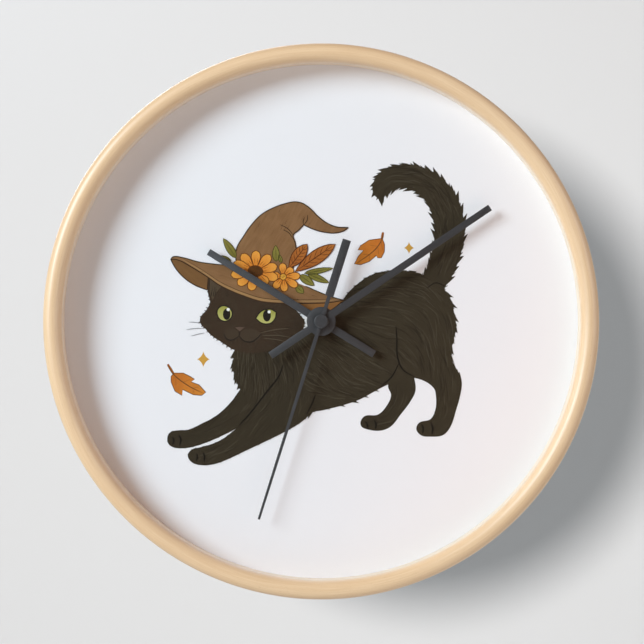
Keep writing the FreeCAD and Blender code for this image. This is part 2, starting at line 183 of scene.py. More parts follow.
def pattern(material, long, wide, turn=0.0, deep=None, detail=3.0):
    """Noise whose marks are long by wide mm, lying turn degrees up from the x axis."""
    where = add(material, "TexCoord")
    laid = add(material, "Mapping", {
        "Vector": where.outputs["Object"],
        "Location": place(0, 0, SHEET),
        "Rotation": (0.0, -math.radians(turn), 0.0),
        "Scale": (long * MM, (deep or wide) * MM, wide * MM)}, vector_type="TEXTURE")
    return add(material, "TexNoise", {
        "Vector": laid.outputs[0], "Scale": 1.0, "Detail": detail, "Roughness": 0.55}).outputs[0]


def bands(spacing):
    """The scale of a wave texture whose bands lie spacing mm apart; the texture has 20 radians to a unit."""
    return 2 * math.pi / (20 * spacing * MM)


def surface(material, sockets):
    """Close a material with one Principled shader."""
    shader = add(material, "BsdfPrincipled", sockets)
    add(material, "OutputMaterial", {"Surface": shader.outputs[0]})
    return material


def bent_wood(name, pale, dark):
    """Beech or birch strip bent to a ring and lacquered satin: fine grain runs round the ring, with short flecks and a
    soft sheen."""
    material = fresh(name)
    across = add(material, "Attribute", attribute_name="across").outputs["Fac"]
    where = add(material, "TexCoord").outputs["Object"]
    parts = add(material, "SeparateXYZ", {0: where})

    def grain(wide, long, shift, detail):
        # marks are wide mm over the profile and long mm round the ring, so the grain closes on itself
        steps = [add(material, "Math", {0: value, 1: factor, 2: shift}, operation="MULTIPLY_ADD").outputs[0]
                 for value, factor in ((parts.outputs[0], 1 / MM / long), (parts.outputs[2], 1 / MM / long),
                                       (across, 1 / wide))]
        point = add(material, "CombineXYZ", {0: steps[0], 1: steps[1], 2: steps[2]})
        return add(material, "TexNoise",
                   {"Vector": point.outputs[0], "Scale": 1.0, "Detail": detail, "Roughness": 0.6}).outputs[0]

    # pores 0.3 mm wide, about 16 mm long
    fine = add(material, "MapRange", {0: grain(0.32, 16, 3.0, 3), 1: 0.36, 2: 0.68}).outputs[0]
    board = add(material, "MapRange", {0: grain(3.5, 110, 9.0, 2), 1: 0.35, 2: 0.65}).outputs[0]  # growth bands
    fleck = add(material, "MapRange", {0: grain(0.16, 1.6, 21.0, 1), 1: 0.66, 2: 0.76}).outputs[0]  # ray flecks
    tone = add(material, "Mix", {0: board, 6: rgba(pale), 7: rgba([(2 * p + d) / 3 for p, d in zip(pale, dark)])},
               data_type="RGBA").outputs[2]
    part = add(material, "Math", {0: fine, 1: 0.42}, operation="MULTIPLY").outputs[0]
    tone = add(material, "Mix", {0: part, 6: tone, 7: rgba(dark)}, data_type="RGBA").outputs[2]
    share = add(material, "Math", {0: fleck, 1: 0.35}, operation="MULTIPLY").outputs[0]
    tone = add(material, "Mix", {0: share, 6: tone, 7: rgba([0.62 * d for d in dark])}, data_type="RGBA").outputs[2]
    rough = add(material, "MapRange", {0: fine, 3: 0.36, 4: 0.5}).outputs[0]
    normal = add(material, "Bump", {"Height": fine, "Distance": 0.02 * MM, "Strength": 0.6}).outputs[0]
    return surface(material, {"Base Color": tone, "Roughness": rough, "IOR": 1.5, "Normal": normal,
                              "Coat Weight": 0.6, "Coat Roughness": 0.4})


def matt_paper(tone):
    """Uncoated print paper: nearly white, matt, with fibres of about 0.3 mm."""
    material = fresh("matt_print_paper")
    fibre = pattern(material, 0.9, 0.3, 25, detail=4)
    cloud = pattern(material, 14, 14, detail=1)
    low = rgba([0.985 * c for c in tone])
    share = add(material, "MapRange", {0: fibre, 1: 0.3, 2: 0.7}).outputs[0]
    mix = add(material, "Mix", {0: share, 6: rgba(tone), 7: low}, data_type="RGBA").outputs[2]
    share = add(material, "MapRange", {0: cloud, 1: 0.3, 2: 0.7}).outputs[0]
    mix = add(material, "Mix", {0: share, 6: mix, 7: rgba([0.997] * 3)}, data_type="RGBA",
              blend_type="MULTIPLY").outputs[2]
    normal = add(material, "Bump", {"Height": fibre, "Distance": 0.01 * MM, "Strength": 0.25}).outputs[0]
    return surface(material, {"Base Color": mix, "Roughness": 0.82, "IOR": 1.45, "Specular IOR Level": 0.35,
                              "Normal": normal})


def ink(name, main, second, long=3.0, wide=0.5, turn=0.0, amount=0.5, tip=None, cloud=9.0):
    """Pigment ink on matt paper: soft brush streaks of long by wide mm, and a broader change of tone; tip is the colour
    where the attribute along reaches 1."""
    material = fresh(name)
    base = rgba(main)
    if tip is not None:
        along = add(material, "Attribute", attribute_name="along").outputs["Fac"]
        base = add(material, "Mix", {0: along, 6: base, 7: rgba(tip)}, data_type="RGBA").outputs[2]
    streak = add(material, "MapRange", {0: pattern(material, long, wide, turn), 1: 0.35, 2: 0.7}).outputs[0]
    broad = add(material, "MapRange",
                {0: pattern(material, cloud, cloud * 0.6, turn, detail=2), 1: 0.35, 2: 0.68}).outputs[0]
    both = add(material, "Math", {0: streak, 1: broad}, operation="ADD").outputs[0]
    part = add(material, "Math", {0: both, 1: amount / 2}, operation="MULTIPLY").outputs[0]
    mixed = add(material, "Mix", {0: part, 6: base, 7: rgba(second)}, data_type="RGBA").outputs[2]
    return surface(material, {"Base Color": mixed, "Roughness": 0.8, "IOR": 1.45, "Specular IOR Level": 0.15})


def clear_acrylic():
    """Cast acrylic sheet with a non-reflecting coat: clear from the front, a mirror only at a slant, with hairline
    marks from wiping."""
    material = fresh("coated_clear_acrylic")
    facing = add(material, "LayerWeight", {"Blend": 0.5}).outputs["Facing"]
    curve = add(material, "Math", {0: facing, 1: 5.0}, operation="POWER").outputs[0]
    share = add(material, "Math", {0: curve, 1: 0.9, 2: 0.005}, operation="MULTIPLY_ADD").outputs[0]
    wiped = add(material, "MapRange", {0: pattern(material, 40, 0.4, 35), 3: 0.02, 4: 0.07}).outputs[0]
    clear = add(material, "BsdfTransparent", {"Color": (0.992, 0.996, 0.994, 1.0)})
    gloss = add(material, "BsdfGlossy", {"Color": (1.0, 1.0, 1.0, 1.0), "Roughness": wiped})
    both = add(material, "MixShader", {0: share, 1: clear.outputs[0], 2: gloss.outputs[0]})
    add(material, "OutputMaterial", {"Surface": both.outputs[0]})
    return material


def painted_metal(tone):
    """Stamped steel with matt charcoal stoving paint: very fine orange peel, a soft light along its edges."""
    material = fresh("matt_charcoal_paint_on_steel")
    peel = pattern(material, 0.35, 0.35, detail=2)
    cloud = pattern(material, 6, 3, 20, detail=2)
    share = add(material, "MapRange", {0: cloud, 1: 0.3, 2: 0.7}).outputs[0]
    mix = add(material, "Mix", {0: share, 6: rgba(tone), 7: rgba([1.18 * c for c in tone])},
              data_type="RGBA").outputs[2]
    normal = add(material, "Bump", {"Height": peel, "Distance": 0.012 * MM, "Strength": 0.5}).outputs[0]
    return surface(material, {"Base Color": mix, "Roughness": 0.48, "IOR": 1.5, "Specular IOR Level": 0.45,
                              "Normal": normal})


def moulded(name, code, rough=0.5, grain=0.35, depth=0.02, gloss=0.5):
    """Injection moulded plastic: spark texture of the mould, drawn a little coarser than real so that it shows, and
    slight flow marks."""
    material = fresh(name)
    tone = linear(code)
    spark = pattern(material, grain, grain, detail=2)
    flow = pattern(material, 12, 5, 70, deep=8, detail=2)
    share = add(material, "MapRange", {0: flow, 1: 0.3, 2: 0.7}).outputs[0]
    mix = add(material, "Mix", {0: share, 6: rgba(tone), 7: rgba([min(1.0, 1.22 * c + 0.002) for c in tone])},
              data_type="RGBA").outputs[2]
    patch = add(material, "MapRange", {0: flow, 3: rough - 0.06, 4: rough + 0.08}).outputs[0]
    normal = add(material, "Bump", {"Height": spark, "Distance": depth * MM, "Strength": 0.7}).outputs[0]
    return surface(material, {"Base Color": mix, "Roughness": patch, "IOR": 1.5, "Specular IOR Level": gloss,
                              "Normal": normal})


def metal(name, code, rough=0.35, long=8.0, wide=0.12, turn=0.0, stain=0.8):
    """Sheet or turned metal: fine lines of long by wide mm from rolling or cutting, and duller patches."""
    material = fresh(name)
    tone = linear(code)
    line = pattern(material, long, wide, turn, deep=wide, detail=2)
    dull = pattern(material, 7, 5, deep=6, detail=3)
    share = add(material, "MapRange", {0: dull, 1: 0.35, 2: 0.7}).outputs[0]
    mix = add(material, "Mix", {0: share, 6: rgba(tone), 7: rgba([stain * c for c in tone])},
              data_type="RGBA").outputs[2]
    patch = add(material, "MapRange", {0: line, 3: rough - 0.1, 4: rough + 0.12}).outputs[0]
    normal = add(material, "Bump", {"Height": line, "Distance": 0.006 * MM, "Strength": 0.6}).outputs[0]
    return surface(material, {"Base Color": mix, "Metallic": 1.0, "Roughness": patch,
                              "Normal": normal})


def hardboard():
    """Wet-pressed wood fibre board: brown, with loose fibres of 1 to 2 mm and the 2 mm wire mesh print of its rough
    side."""
    material = fresh("wet_pressed_hardboard")
    fibre = pattern(material, 2.2, 0.25, 30, detail=4)
    cross = pattern(material, 1.8, 0.22, 118, detail=4)
    speck = add(material, "Math", {0: fibre, 1: cross}, operation="MULTIPLY").outputs[0]
    share = add(material, "MapRange", {0: speck, 1: 0.12, 2: 0.4}).outputs[0]
    tone = add(material, "Mix", {0: share, 6: shade("#6a4a31"), 7: shade("#94714f")}, data_type="RGBA").outputs[2]
    share = add(material, "MapRange", {0: pattern(material, 26, 18, 10, detail=3), 1: 0.35, 2: 0.65}).outputs[0]
    tone = add(material, "Mix", {0: share, 6: tone, 7: shade("#e2d6c8")}, data_type="RGBA",
               blend_type="MULTIPLY").outputs[2]
    where = add(material, "TexCoord").outputs["Object"]
    waves = [add(material, "TexWave", {"Vector": where, "Scale": bands(2.0), "Distortion": 0.6, "Detail": 1.0},
                 bands_direction=axis).outputs["Fac"] for axis in ("X", "Z")]
    mesh = add(material, "Math", {0: waves[0], 1: waves[1]}, operation="MULTIPLY").outputs[0]
    height = add(material, "Math", {0: fibre, 1: 0.5, 2: mesh}, operation="MULTIPLY_ADD").outputs[0]
    normal = add(material, "Bump", {"Height": height, "Distance": 0.12 * MM, "Strength": 0.8}).outputs[0]
    return surface(material, {"Base Color": tone, "Roughness": 0.8, "IOR": 1.45, "Normal": normal})


def wound_wire():
    """Enamelled copper wire in layers: turns side by side, drawn 0.18 mm apart so that they show, with painted shade
    darkening the grooves between them and a warm gloss.
    """
    material = fresh("enamelled_copper_wire")
    where = add(material, "TexCoord").outputs["Object"]
    turn_relief_and_groove_shade = add(material, "TexWave", {"Vector": where, "Scale": bands(0.18), "Distortion": 0.25},
                bands_direction="X").outputs["Fac"]
    # painted shade: the colour runs dark in the grooves between turns and light on their crowns, following the same
    # waves as the bump
    tone = add(material, "Mix", {0: turn_relief_and_groove_shade, 6: shade("#7c3614"), 7: shade("#c8733a")}, data_type="RGBA").outputs[2]
    normal = add(material, "Bump", {"Height": turn_relief_and_groove_shade, "Distance": 0.05 * MM, "Strength": 0.8}).outputs[0]
    return surface(material, {"Base Color": tone, "Metallic": 0.75, "Roughness": 0.32, "Normal": normal})


def circuit_laminate():
    """Glass fibre laminate under green solder lacquer: the weave shows as a fine grid below a smooth gloss."""
    material = fresh("green_lacquered_laminate")
    weave = [pattern(material, 3, 0.3, turn, detail=1) for turn in (0, 90)]
    both = add(material, "Math", {0: weave[0], 1: weave[1]}, operation="MULTIPLY").outputs[0]
    share = add(material, "MapRange", {0: both, 1: 0.15, 2: 0.4}).outputs[0]
    tone = add(material, "Mix", {0: share, 6: shade("#0e4a2a"), 7: shade("#1d6b40")}, data_type="RGBA").outputs[2]
    return surface(material, {"Base Color": tone, "Roughness": 0.3, "IOR": 1.5, "Coat Weight": 0.4,
                              "Coat Roughness": 0.15})


def cell_sleeve():
    """Shrunk printed film over a steel can: dark body, a copper coloured band at one end and no lettering, with a tight
    gloss."""
    material = fresh("shrunk_battery_film")
    low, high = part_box("battery")
    where = add(material, "TexCoord").outputs["Object"]
    run = add(material, "SeparateXYZ", {0: where}).outputs[0]
    band = add(material, "MapRange",
               {0: run, 1: low[0] + 0.66 * (high[0] - low[0]), 2: low[0] + 0.665 * (high[0] - low[0])}).outputs[0]
    wrinkle = pattern(material, 5, 0.8, 90, deep=3, detail=3)
    share = add(material, "MapRange", {0: wrinkle, 1: 0.3, 2: 0.7}).outputs[0]
    dark = add(material, "Mix", {0: share, 6: shade("#1b1c1f"), 7: shade("#26272a")}, data_type="RGBA").outputs[2]
    tone = add(material, "Mix", {0: band, 6: dark, 7: shade("#b5793f")}, data_type="RGBA").outputs[2]
    normal = add(material, "Bump", {"Height": wrinkle, "Distance": 0.015 * MM, "Strength": 0.5}).outputs[0]
    return surface(material, {"Base Color": tone, "Metallic": 0.35, "Roughness": 0.3, "IOR": 1.5,
                              "Normal": normal, "Coat Weight": 0.3, "Coat Roughness": 0.12})


def matt_paint(name, first, second):
    """Matt emulsion of a studio wall or floor: even, with a change of tone so slight that it only keeps it from looking
    flat."""
    material = fresh(name)
    cloud = pattern(material, 900, 700, detail=2)
    tone = add(material, "Mix", {0: cloud, 6: rgba(first), 7: rgba(second)}, data_type="RGBA").outputs[2]
    return surface(material, {"Base Color": tone, "Roughness": 0.9, "Specular IOR Level": 0.2})


# ------------------------------------------------------------------ making pieces
def wipe(bm):
    """Merge doubles, then turn all faces outwards."""
    bmesh.ops.remove_doubles(bm, verts=bm.verts[:], dist=1e-6)
    bmesh.ops.recalc_face_normals(bm, faces=bm.faces[:])


def piece(name, bm, materials, body, nodes=(), smooth=40):
    """Make a bmesh a finished piece that rides on a body and stands for some CAD nodes."""
    mesh = bpy.data.meshes.new(name)
    bm.to_mesh(mesh)
    bm.free()
    for material in materials:
        mesh.materials.append(material)
    if smooth:
        mesh.shade_smooth()
        mesh.set_sharp_from_angle(angle=math.radians(smooth))
    made = bpy.data.objects.new(name, mesh)
    bpy.context.scene.collection.objects.link(made)
    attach(made, body)
    if nodes:
        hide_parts(*nodes)
    return made


def lathe(bm, profile, steps, closed=True, across=None):
    """Spin a profile of (radius, depth) points round the hands' axis; across is a layer for the distance along the
    profile."""
    verts = [bm.verts.new(place(r, 0, d)) for r, d in profile]
    if across is not None:
        run = 0.0
        for i, v in enumerate(verts):
            run += math.dist(profile[i], profile[i - 1]) if i else 0.0
            v[across] = run
    edges = [bm.edges.new(pair) for pair in zip(verts, verts[1:])]
    if closed:
        edges.append(bm.edges.new((verts[-1], verts[0])))
    bmesh.ops.spin(bm, geom=verts + edges, cent=place(0, 0, 0), axis=(0, 1, 0), angle=2 * math.pi, steps=steps,
                   use_merge=True)


def arc(x, y, r, start, end, steps):
    """Points on an arc round (x, y), angles in degrees."""
    return [(x + r * math.cos(math.radians(start + (end - start) * i / steps)),
             y + r * math.sin(math.radians(start + (end - start) * i / steps))) for i in range(steps + 1)]


# ------------------------------------------------------------------ drawing with ink
def smooth_line(points, closed=False, steps=5, corner=62):
    """A smooth line through points; a turn sharper than corner degrees stays a corner."""
    spots = [Vector(p) for p in points]
    n = len(spots)

    def heading(i, after):
        back, on = spots[i % n] - spots[(i - 1) % n], spots[(i + 1) % n] - spots[i % n]
        if not closed and i in (0, n - 1):
            return (on if i == 0 else back).normalized()
        if back.angle(on, 0.0) > math.radians(corner):
            return (on if after else back).normalized()
        return (back.normalized() + on.normalized()).normalized()

    line = []
    for i in range(n if closed else n - 1):
        a, b = spots[i], spots[(i + 1) % n]
        pull = (b - a).length
        ta, tb = heading(i, True) * pull, heading((i + 1) % n if closed else i + 1, False) * pull
        for k in range(steps):
            t = k / steps
            line.append(tuple((2 * t**3 - 3 * t**2 + 1) * a + (t**3 - 2 * t**2 + t) * ta
                              + (3 * t**2 - 2 * t**3) * b + (t**3 - t**2) * tb))
    if not closed:
        line.append(tuple(spots[-1]))
    return line


def inside(x, z, outline):
    """Whether a spot lies inside a closed outline."""
    hit = False
    for (x1, z1), (x2, z2) in zip(outline, outline[1:] + outline[:1]):
        if (z1 > z) != (z2 > z) and x < (x2 - x1) * (z - z1) / (z2 - z1) + x1:
            hit = not hit
    return hit


class Print:
    """A stack of ink layers on the paper.

    Level counts the ink steps from the paper: 1 to 6.9 body and legs, 7 to 8.2 head, 8.6 to 9.5 hat, 9.7 to 13.4
    leaves and flowers. Faces that lie over each other need 0.05 or more between them.
    """

    def __init__(self, step):
        self.bm = bmesh.new()
        self.along = self.bm.verts.layers.float.new("along")
        self.step = step / MM

    def spot(self, x, z, level, along=0.0):
        if math.hypot(x, z) < BUSHING_HOLE:
            x, z = Vector((x, z)).normalized() * BUSHING_HOLE
        v = self.bm.verts.new(place(x, z, SHEET + level * self.step))
        v[self.along] = along
        return v

    def face(self, verts, colour_index):
        made = self.bm.faces.new(verts)
        made.normal_update()
        if made.normal.y > 0:
            made.normal_flip()
        made.material_index = colour_index

    def patch(self, outline, level, colour_index, run=None):
        """Fill an outline; run is the line from (x, z) to (x, z) that the attribute along goes by."""
        def share(x, z):
            if run is None:
                return 0.0
            (ax, az), (bx, bz) = run
            t = ((x - ax) * (bx - ax) + (z - az) * (bz - az)) / ((bx - ax) ** 2 + (bz - az) ** 2)
            return min(1.0, max(0.0, t))
        self.face([self.spot(x, z, level, share(x, z)) for x, z in outline], colour_index)

    def line(self, points, width, level, colour_index, closed=False, ends=0.3):
        """Draw a line as a flat ribbon that narrows to its ends."""
        n = len(points)
        rows = []
        for i, (x, z) in enumerate(points):
            ax, az = points[i - 1] if i or closed else points[i]
            bx, bz = points[(i + 1) % n] if i + 1 < n or closed else points[i]
            long = math.hypot(bx - ax, bz - az) or 1.0
            half = width / 2 * (1.0 if closed else ends + (1 - ends) * math.sin(math.pi * i / (n - 1)) ** 0.5)
            sx, sz = -(bz - az) / long * half, (bx - ax) / long * half
            rows.append((self.spot(x + sx, z + sz, level), self.spot(x - sx, z - sz, level)))
        for (a, b), (c, d) in zip(rows, rows[1:] + rows[:1] if closed else rows[1:]):
            self.face((a, b, d, c), colour_index)

    def hair(self, x, z, lay, length, width, bend, level, colour_index):
        """One hair or tuft: wide at its root, curved, and pointed."""
        c, s = math.cos(lay), math.sin(lay)
        rows = []
        for t in (0.0, 0.45, 0.8):
            px, pz = x + c * length * t - s * bend * t * t, z + s * length * t + c * bend * t * t
            w = width / 2 * (1 - t)
            rows.append((self.spot(px - s * w, pz + c * w, level), self.spot(px + s * w, pz - c * w, level)))
        tip = self.spot(x + c * length - s * bend, z + s * length + c * bend, level)
        for (a, b), (e, f) in zip(rows, rows[1:]):
            self.face((a, b, f, e), colour_index)
        self.face((*rows[-1], tip), colour_index)


def lay_at(x, z, guides):
    """Which way the fur lies at a spot, in radians, from the guides (x, z, degrees)."""
    total = Vector((0.0, 0.0))
    for gx, gz, turn in guides:
        weight = 1 / ((x - gx) ** 2 + (z - gz) ** 2 + 4) ** 1.5
        total += weight * Vector((math.cos(math.radians(turn)), math.sin(math.radians(turn))))
    return math.atan2(total.y, total.x)


def hairs(sheet, outline, level, indexes, guides, per_area, length, width, seed):
    """Scatter drawn hairs over a furry shape."""
    pick = random.Random(seed)
    xs, zs = [p[0] for p in outline], [p[1] for p in outline]
    count = int((max(xs) - min(xs)) * (max(zs) - min(zs)) * per_area)
    for _ in range(count):
        x, z = pick.uniform(min(xs), max(xs)), pick.uniform(min(zs), max(zs))
        lay = lay_at(x, z, guides) + pick.gauss(0, 0.16)
        long = length * pick.uniform(0.5, 1.5)
        end = (x + math.cos(lay) * long, z + math.sin(lay) * long)
        if inside(x, z, outline) and inside(*end, outline) and math.hypot(x, z) > NO_FUR:
            sheet.hair(x, z, lay, long, width * pick.uniform(0.7, 1.3), pick.uniform(-0.12, 0.12) * long,
                       level + pick.uniform(0, 0.3), pick.choice(indexes))


def tufts(sheet, outline, level, colour_index, guides, length, gap, width, out_share, seed):
    """Pointed tufts along the edge of a furry shape, leaning the way the fur lies."""
    pick = random.Random(seed)
    area = sum(a[0] * b[1] - b[0] * a[1] for a, b in zip(outline, outline[1:] + outline[:1]))
    side = 1 if area < 0 else -1
    due = 0.0
    for (ax, az), (bx, bz) in zip(outline, outline[1:] + outline[:1]):
        long = math.hypot(bx - ax, bz - az)
        due -= long
        if due > 0 or long < 1e-6 or (ax > SMOOTH_FUR[0] and az < SMOOTH_FUR[1]):
            continue
        due = gap * pick.uniform(0.7, 1.4)
        out = Vector((-(bz - az), bx - ax)) / long * side
        lay = lay_at(ax, az, guides)
        way = Vector((math.cos(lay), math.sin(lay))) * (1 - out_share) + out * out_share
        root = Vector((ax, az)) - out * width * 0.22 - way * 0.2 * length
        sheet.hair(root.x, root.y, math.atan2(way.y, way.x), length * pick.uniform(0.75, 1.35),
                   width, pick.uniform(-0.1, 0.1) * length, level + pick.uniform(0, 0.1), colour_index)


def strands(sheet, outline, level, indexes, guides, count, length, width, seed):
    """Long drawn strands that follow the lay of the fur."""
    pick = random.Random(seed)
    xs, zs = [p[0] for p in outline], [p[1] for p in outline]
    for _ in range(count):
        line = [(pick.uniform(min(xs), max(xs)), pick.uniform(min(zs), max(zs)))]
        swing = pick.gauss(0, 0.12)
        for _ in range(int(length * pick.uniform(0.5, 1.5) / 1.1) + 2):
            lay = lay_at(*line[-1], guides) + swing
            line.append((line[-1][0] + 1.1 * math.cos(lay), line[-1][1] + 1.1 * math.sin(lay)))
        if all(inside(x, z, outline) and math.hypot(x, z) > NO_FUR for x, z in line):
            sheet.line(line, width * pick.uniform(0.7, 1.4), level + pick.uniform(0, 0.3), pick.choice(indexes),
                       ends=0.1)


def leaf_shape(base, tip, width, blunt=0.8, steps=10):
    """The outline of a leaf or petal from base to tip; blunt moves its widest place and rounds its tip."""
    a, b = Vector(base), Vector(tip)
    run = b - a
    side = Vector((-run.y, run.x)).normalized()
    half = [(t, width / 2 * math.sin(math.pi * t ** blunt) ** 0.75) for t in (i / steps for i in range(1, steps))]
    left = [tuple(a + run * t + side * h) for t, h in half]
    right = [tuple(a + run * t - side * h) for t, h in half]
    return [tuple(a)] + left + [tuple(b)] + right[::-1]


def petal_shape(base, tip, width, steps=12):
    """A petal: narrow at its base and round at its tip."""
    a, b = Vector(base), Vector(tip)
    run = b - a
    side = Vector((-run.y, run.x)).normalized()
    line = []
    for i in range(1, steps):
        t = i / steps
        taper = 0.35 + 0.65 * min(1, t / 0.55) ** 1.2
        half = width / 2 * taper * math.sqrt(max(0.0, 1 - max(0.0, (t - 0.62) / 0.38) ** 2.2))
        line.append((t, half))
    left = [tuple(a + run * t + side * h) for t, h in line]
    right = [tuple(a + run * t - side * h) for t, h in line]
    return [tuple(a + side * width * 0.17)] + left + [tuple(b)] + right[::-1] + [tuple(a - side * width * 0.17)]


def oval(x, z, rx, rz, turn=0.0, steps=20):
    """An oval round (x, z), turned turn degrees."""
    c, s = math.cos(math.radians(turn)), math.sin(math.radians(turn))
    return [(x + rx * math.cos(t) * c - rz * math.sin(t) * s, z + rx * math.cos(t) * s + rz * math.sin(t) * c)
            for t in (2 * math.pi * i / steps for i in range(steps))]


# ------------------------------------------------------------------ outlines of the drawing
TAIL = [(49, 14), (56, 15.2), (59.3, 18.9), (62.2, 24.7), (64.3, 30.1), (65.5, 36.3), (66.1, 41.6), (65.7, 48.3),
        (64.3, 54),
        (61.8, 59.4), (58.1, 64), (53.5, 68.1), (47.7, 71), (41.1, 72.6), (35.3, 72.3), (29.9, 70.8), (25.8, 67.3),
        (23.7, 62.7), (24.2, 59), (28.1, 55.3), (29.7, 58.2), (32.8, 60.7), (37.4, 61.8), (42.3, 60.7), (46.9, 57.4),
        (50.2, 52), (52.1, 45.8), (52.3, 38.8), (51, 30.9), (49, 24.7), (45.5, 19)]
BODY = [(7.6, 4.7), (10.4, 10.6), (16.5, 17.1), (23.8, 21.8), (32.3, 23.4), (41.2, 23.1), (50.2, 19.9), (55.8, 16),
        (59.7, 10.7), (61.8, 2), (62.5, -3), (61.3, -8), (60.2, -14), (60.4, -18), (63.3, -23.3), (65, -28.1),
        (64.3, -34.1), (62.5, -40.6), (59.5, -49.2), (56.3, -52.6), (50.7, -53.3), (46.2, -52.7), (44, -49.9),
        (45.2, -46.9), (50.5, -45.2), (52.7, -41.1), (53.1, -35.1), (52, -30.8), (42.7, -26.1), (36.2, -27.2),
        (30.9, -29.2), (26.2, -31.5), (21.6, -34.1), (17.6, -36.2), (11.6, -38.3), (4.1, -40.3), (-2.2, -41.5),
        (-12.8, -39.7), (-20, -26), (-12, -12), (-5.3, -5), (0, -5.6), (4.8, -2.6), (5.4, 2.2)]
FAR_HIND = [(42.7, -24.1), (43.6, -32.1), (41.2, -37.1), (36.7, -43.1), (32.2, -48.6), (27.7, -50.5), (21.6, -50),
            (18.6, -48.6), (18.2, -46.4), (20.1, -43.8), (26.2, -43.1), (30.2, -39.1), (32.3, -34.1), (30.9, -29.8),
            (34.2, -24.1)]
CHEST = [(-38.9, -10), (-40.2, -15.3), (-40.9, -20.6), (-39.7, -26.5), (-37.3, -31.9), (-31.4, -39.7), (-20.8, -41.9),
         (-12.8, -31.2), (-4.9, -20.6), (0.5, -7.3), (-20.8, -4.7)]
FAR_FRONT = [(-37.3, -31.2), (-42.1, -37.7), (-48.4, -43.5), (-55.9, -47.6), (-61.7, -50.1), (-66.5, -50.4),
             (-69.7, -51.2), (-71, -53), (-70.7, -56.5), (-68.4, -58.2), (-62.8, -58.6), (-55.9, -57), (-47.4, -53.6),
             (-38.9, -49.3), (-31.4, -44.5), (-26.1, -36.6)]
NEAR_FRONT = [(-22.9, -31.2), (-26.1, -36.6), (-32.5, -44), (-39.4, -49.6), (-45.2, -54.1), (-50.6, -56.7),
              (-55.9, -58.2), (-60.1, -59.4), (-61.7, -62.1), (-59.9, -65.1), (-55.9, -66.4), (-51.1, -66.3),
              (-46.3, -65), (-34.1, -59.4), (-23.5, -54.4), (-16.5, -50.9), (-10.2, -47.2), (-5.9, -43.5),
              (-2.2, -36.6), (-10.2, -29.1)]
HEAD = [(-52.5, 20.3), (-52.5, 14.1), (-51.9, 11.1), (-51.4, 9.3), (-52.8, 5.6), (-56, 1.5), (-55.6, -1.3),
        (-54, -2.9), (-51, -6.3), (-46.3, -9.4), (-45.2, -10.2), (-39.7, -13.4), (-31.4, -14.5), (-22.9, -13.3),
        (-15.5, -11.3), (-8.6, -5.7), (-8.2, -2.2), (-7.7, -0.1), (-9.7, 2.9), (-13.3, 6.8), (-30.4, 13.6)]
EAR = [(-51.3, 19.5), (-46, 16.2), (-48.6, 13.2), (-50.1, 10), (-51.3, 12.3)]
CROWN = [(-39.4, 32.8), (-35.7, 39.7), (-31.7, 45.3), (-27.5, 49.5), (-22.2, 52.5), (-16.9, 54.4), (-12.1, 55.3),
         (-8.9, 54.7), (-5.4, 52.5), (-1.4, 48.5), (2.8, 45.4), (7.1, 43.7), (12.5, 43.4), (10.5, 41.9), (6.5, 40.9),
         (1.2, 41.3), (-3.6, 42.6), (-8.1, 44.6), (-10.5, 42.1), (-12.9, 39.9), (-12, 36.3), (-11.6, 32),
         (-13.7, 21.4), (-38.1, 21.4)]
BRIM_BACK = [(-69.6, 28.7), (-68.4, 29.9), (-64.1, 29.5), (-56.7, 27.5), (-48.7, 26.4), (-40.2, 25.6), (-27.5, 22.4),
             (-14.2, 18.7), (-7.3, 16.3), (-0.9, 13.5), (6, 11), (10.5, 9.8)]
BRIM_FRONT = [(10.5, 9.8), (3.8, 8.7), (-2.6, 8.4), (-13.3, 8.3), (-21.9, 8.5), (-28.3, 9.3), (-34.7, 11.3),
              (-41.1, 13.8), (-47.5, 17), (-51.8, 20), (-59.4, 24.8), (-66.8, 28.6), (-69.6, 28.7)]
UNDER_LEFT = [(-69.6, 28.7), (-67.3, 24.5), (-63.1, 19.9), (-58.3, 16.7), (-52.7, 14.5), (-52.2, 20.6), (-59.4, 24.8),
              (-66.8, 28.6)]
UNDER_RIGHT = [(-32.1, 10.6), (-21.9, 8.7), (-2.6, 8.5), (10.5, 9.7), (3.4, 4.6), (-2.6, 3.3), (-9, 4.6), (-13.3, 6.8)]
FOLDS = [[(-19, 44.8), (-15.5, 42.9), (-12.9, 39.9)], [(-17.6, 42.4), (-15, 41), (-13.2, 38.4)],
         [(-6.2, 49.3), (-6.6, 46.6), (-8.1, 44.6)], [(-7.7, 48.2), (-8.3, 46.4), (-8.2, 44.6)]]
LARGE_FLOWER = ((-30.4, 23.2), [(-30.1, 32.8), (-36.8, 31.2), (-40.5, 27.2), (-41.8, 21.4), (-38.6, 16.9),
                                (-32.5, 14.2), (-24.8, 17.1), (-20, 19.8), (-20.3, 25.6), (-23.5, 30.7)])
SMALL_FLOWER = ((-17.6, 20.6), [(-17.9, 27), (-13.1, 24.6), (-9.7, 21.1), (-11, 16.1), (-16.9, 13.7), (-21.9, 15.3),
                                (-22.2, 21.4)])
GREEN_LEAVES = [((-39.4, 29.4), (-45.3, 38.4), 3.4), ((-41.8, 27.8), (-46.6, 30.4), 1.8),
                ((-20.8, 27.8), (-21.1, 35.2), 3.2), ((-18.4, 27.2), (-19.5, 30.9), 1.7),
                ((-7.8, 22.2), (5.5, 24.6), 2.5), ((-6.2, 21.9), (3.6, 17.9), 3.1), ((-9.9, 21.4), (-3.3, 16.6), 3.7),
                ((-11.5, 16.1), (-8.1, 13.1), 3.1)]
FEATHERS = [((-15, 24.6), (-6.5, 35.7), 5.8), ((-12.1, 23), (6.5, 35.7), 6.3)]
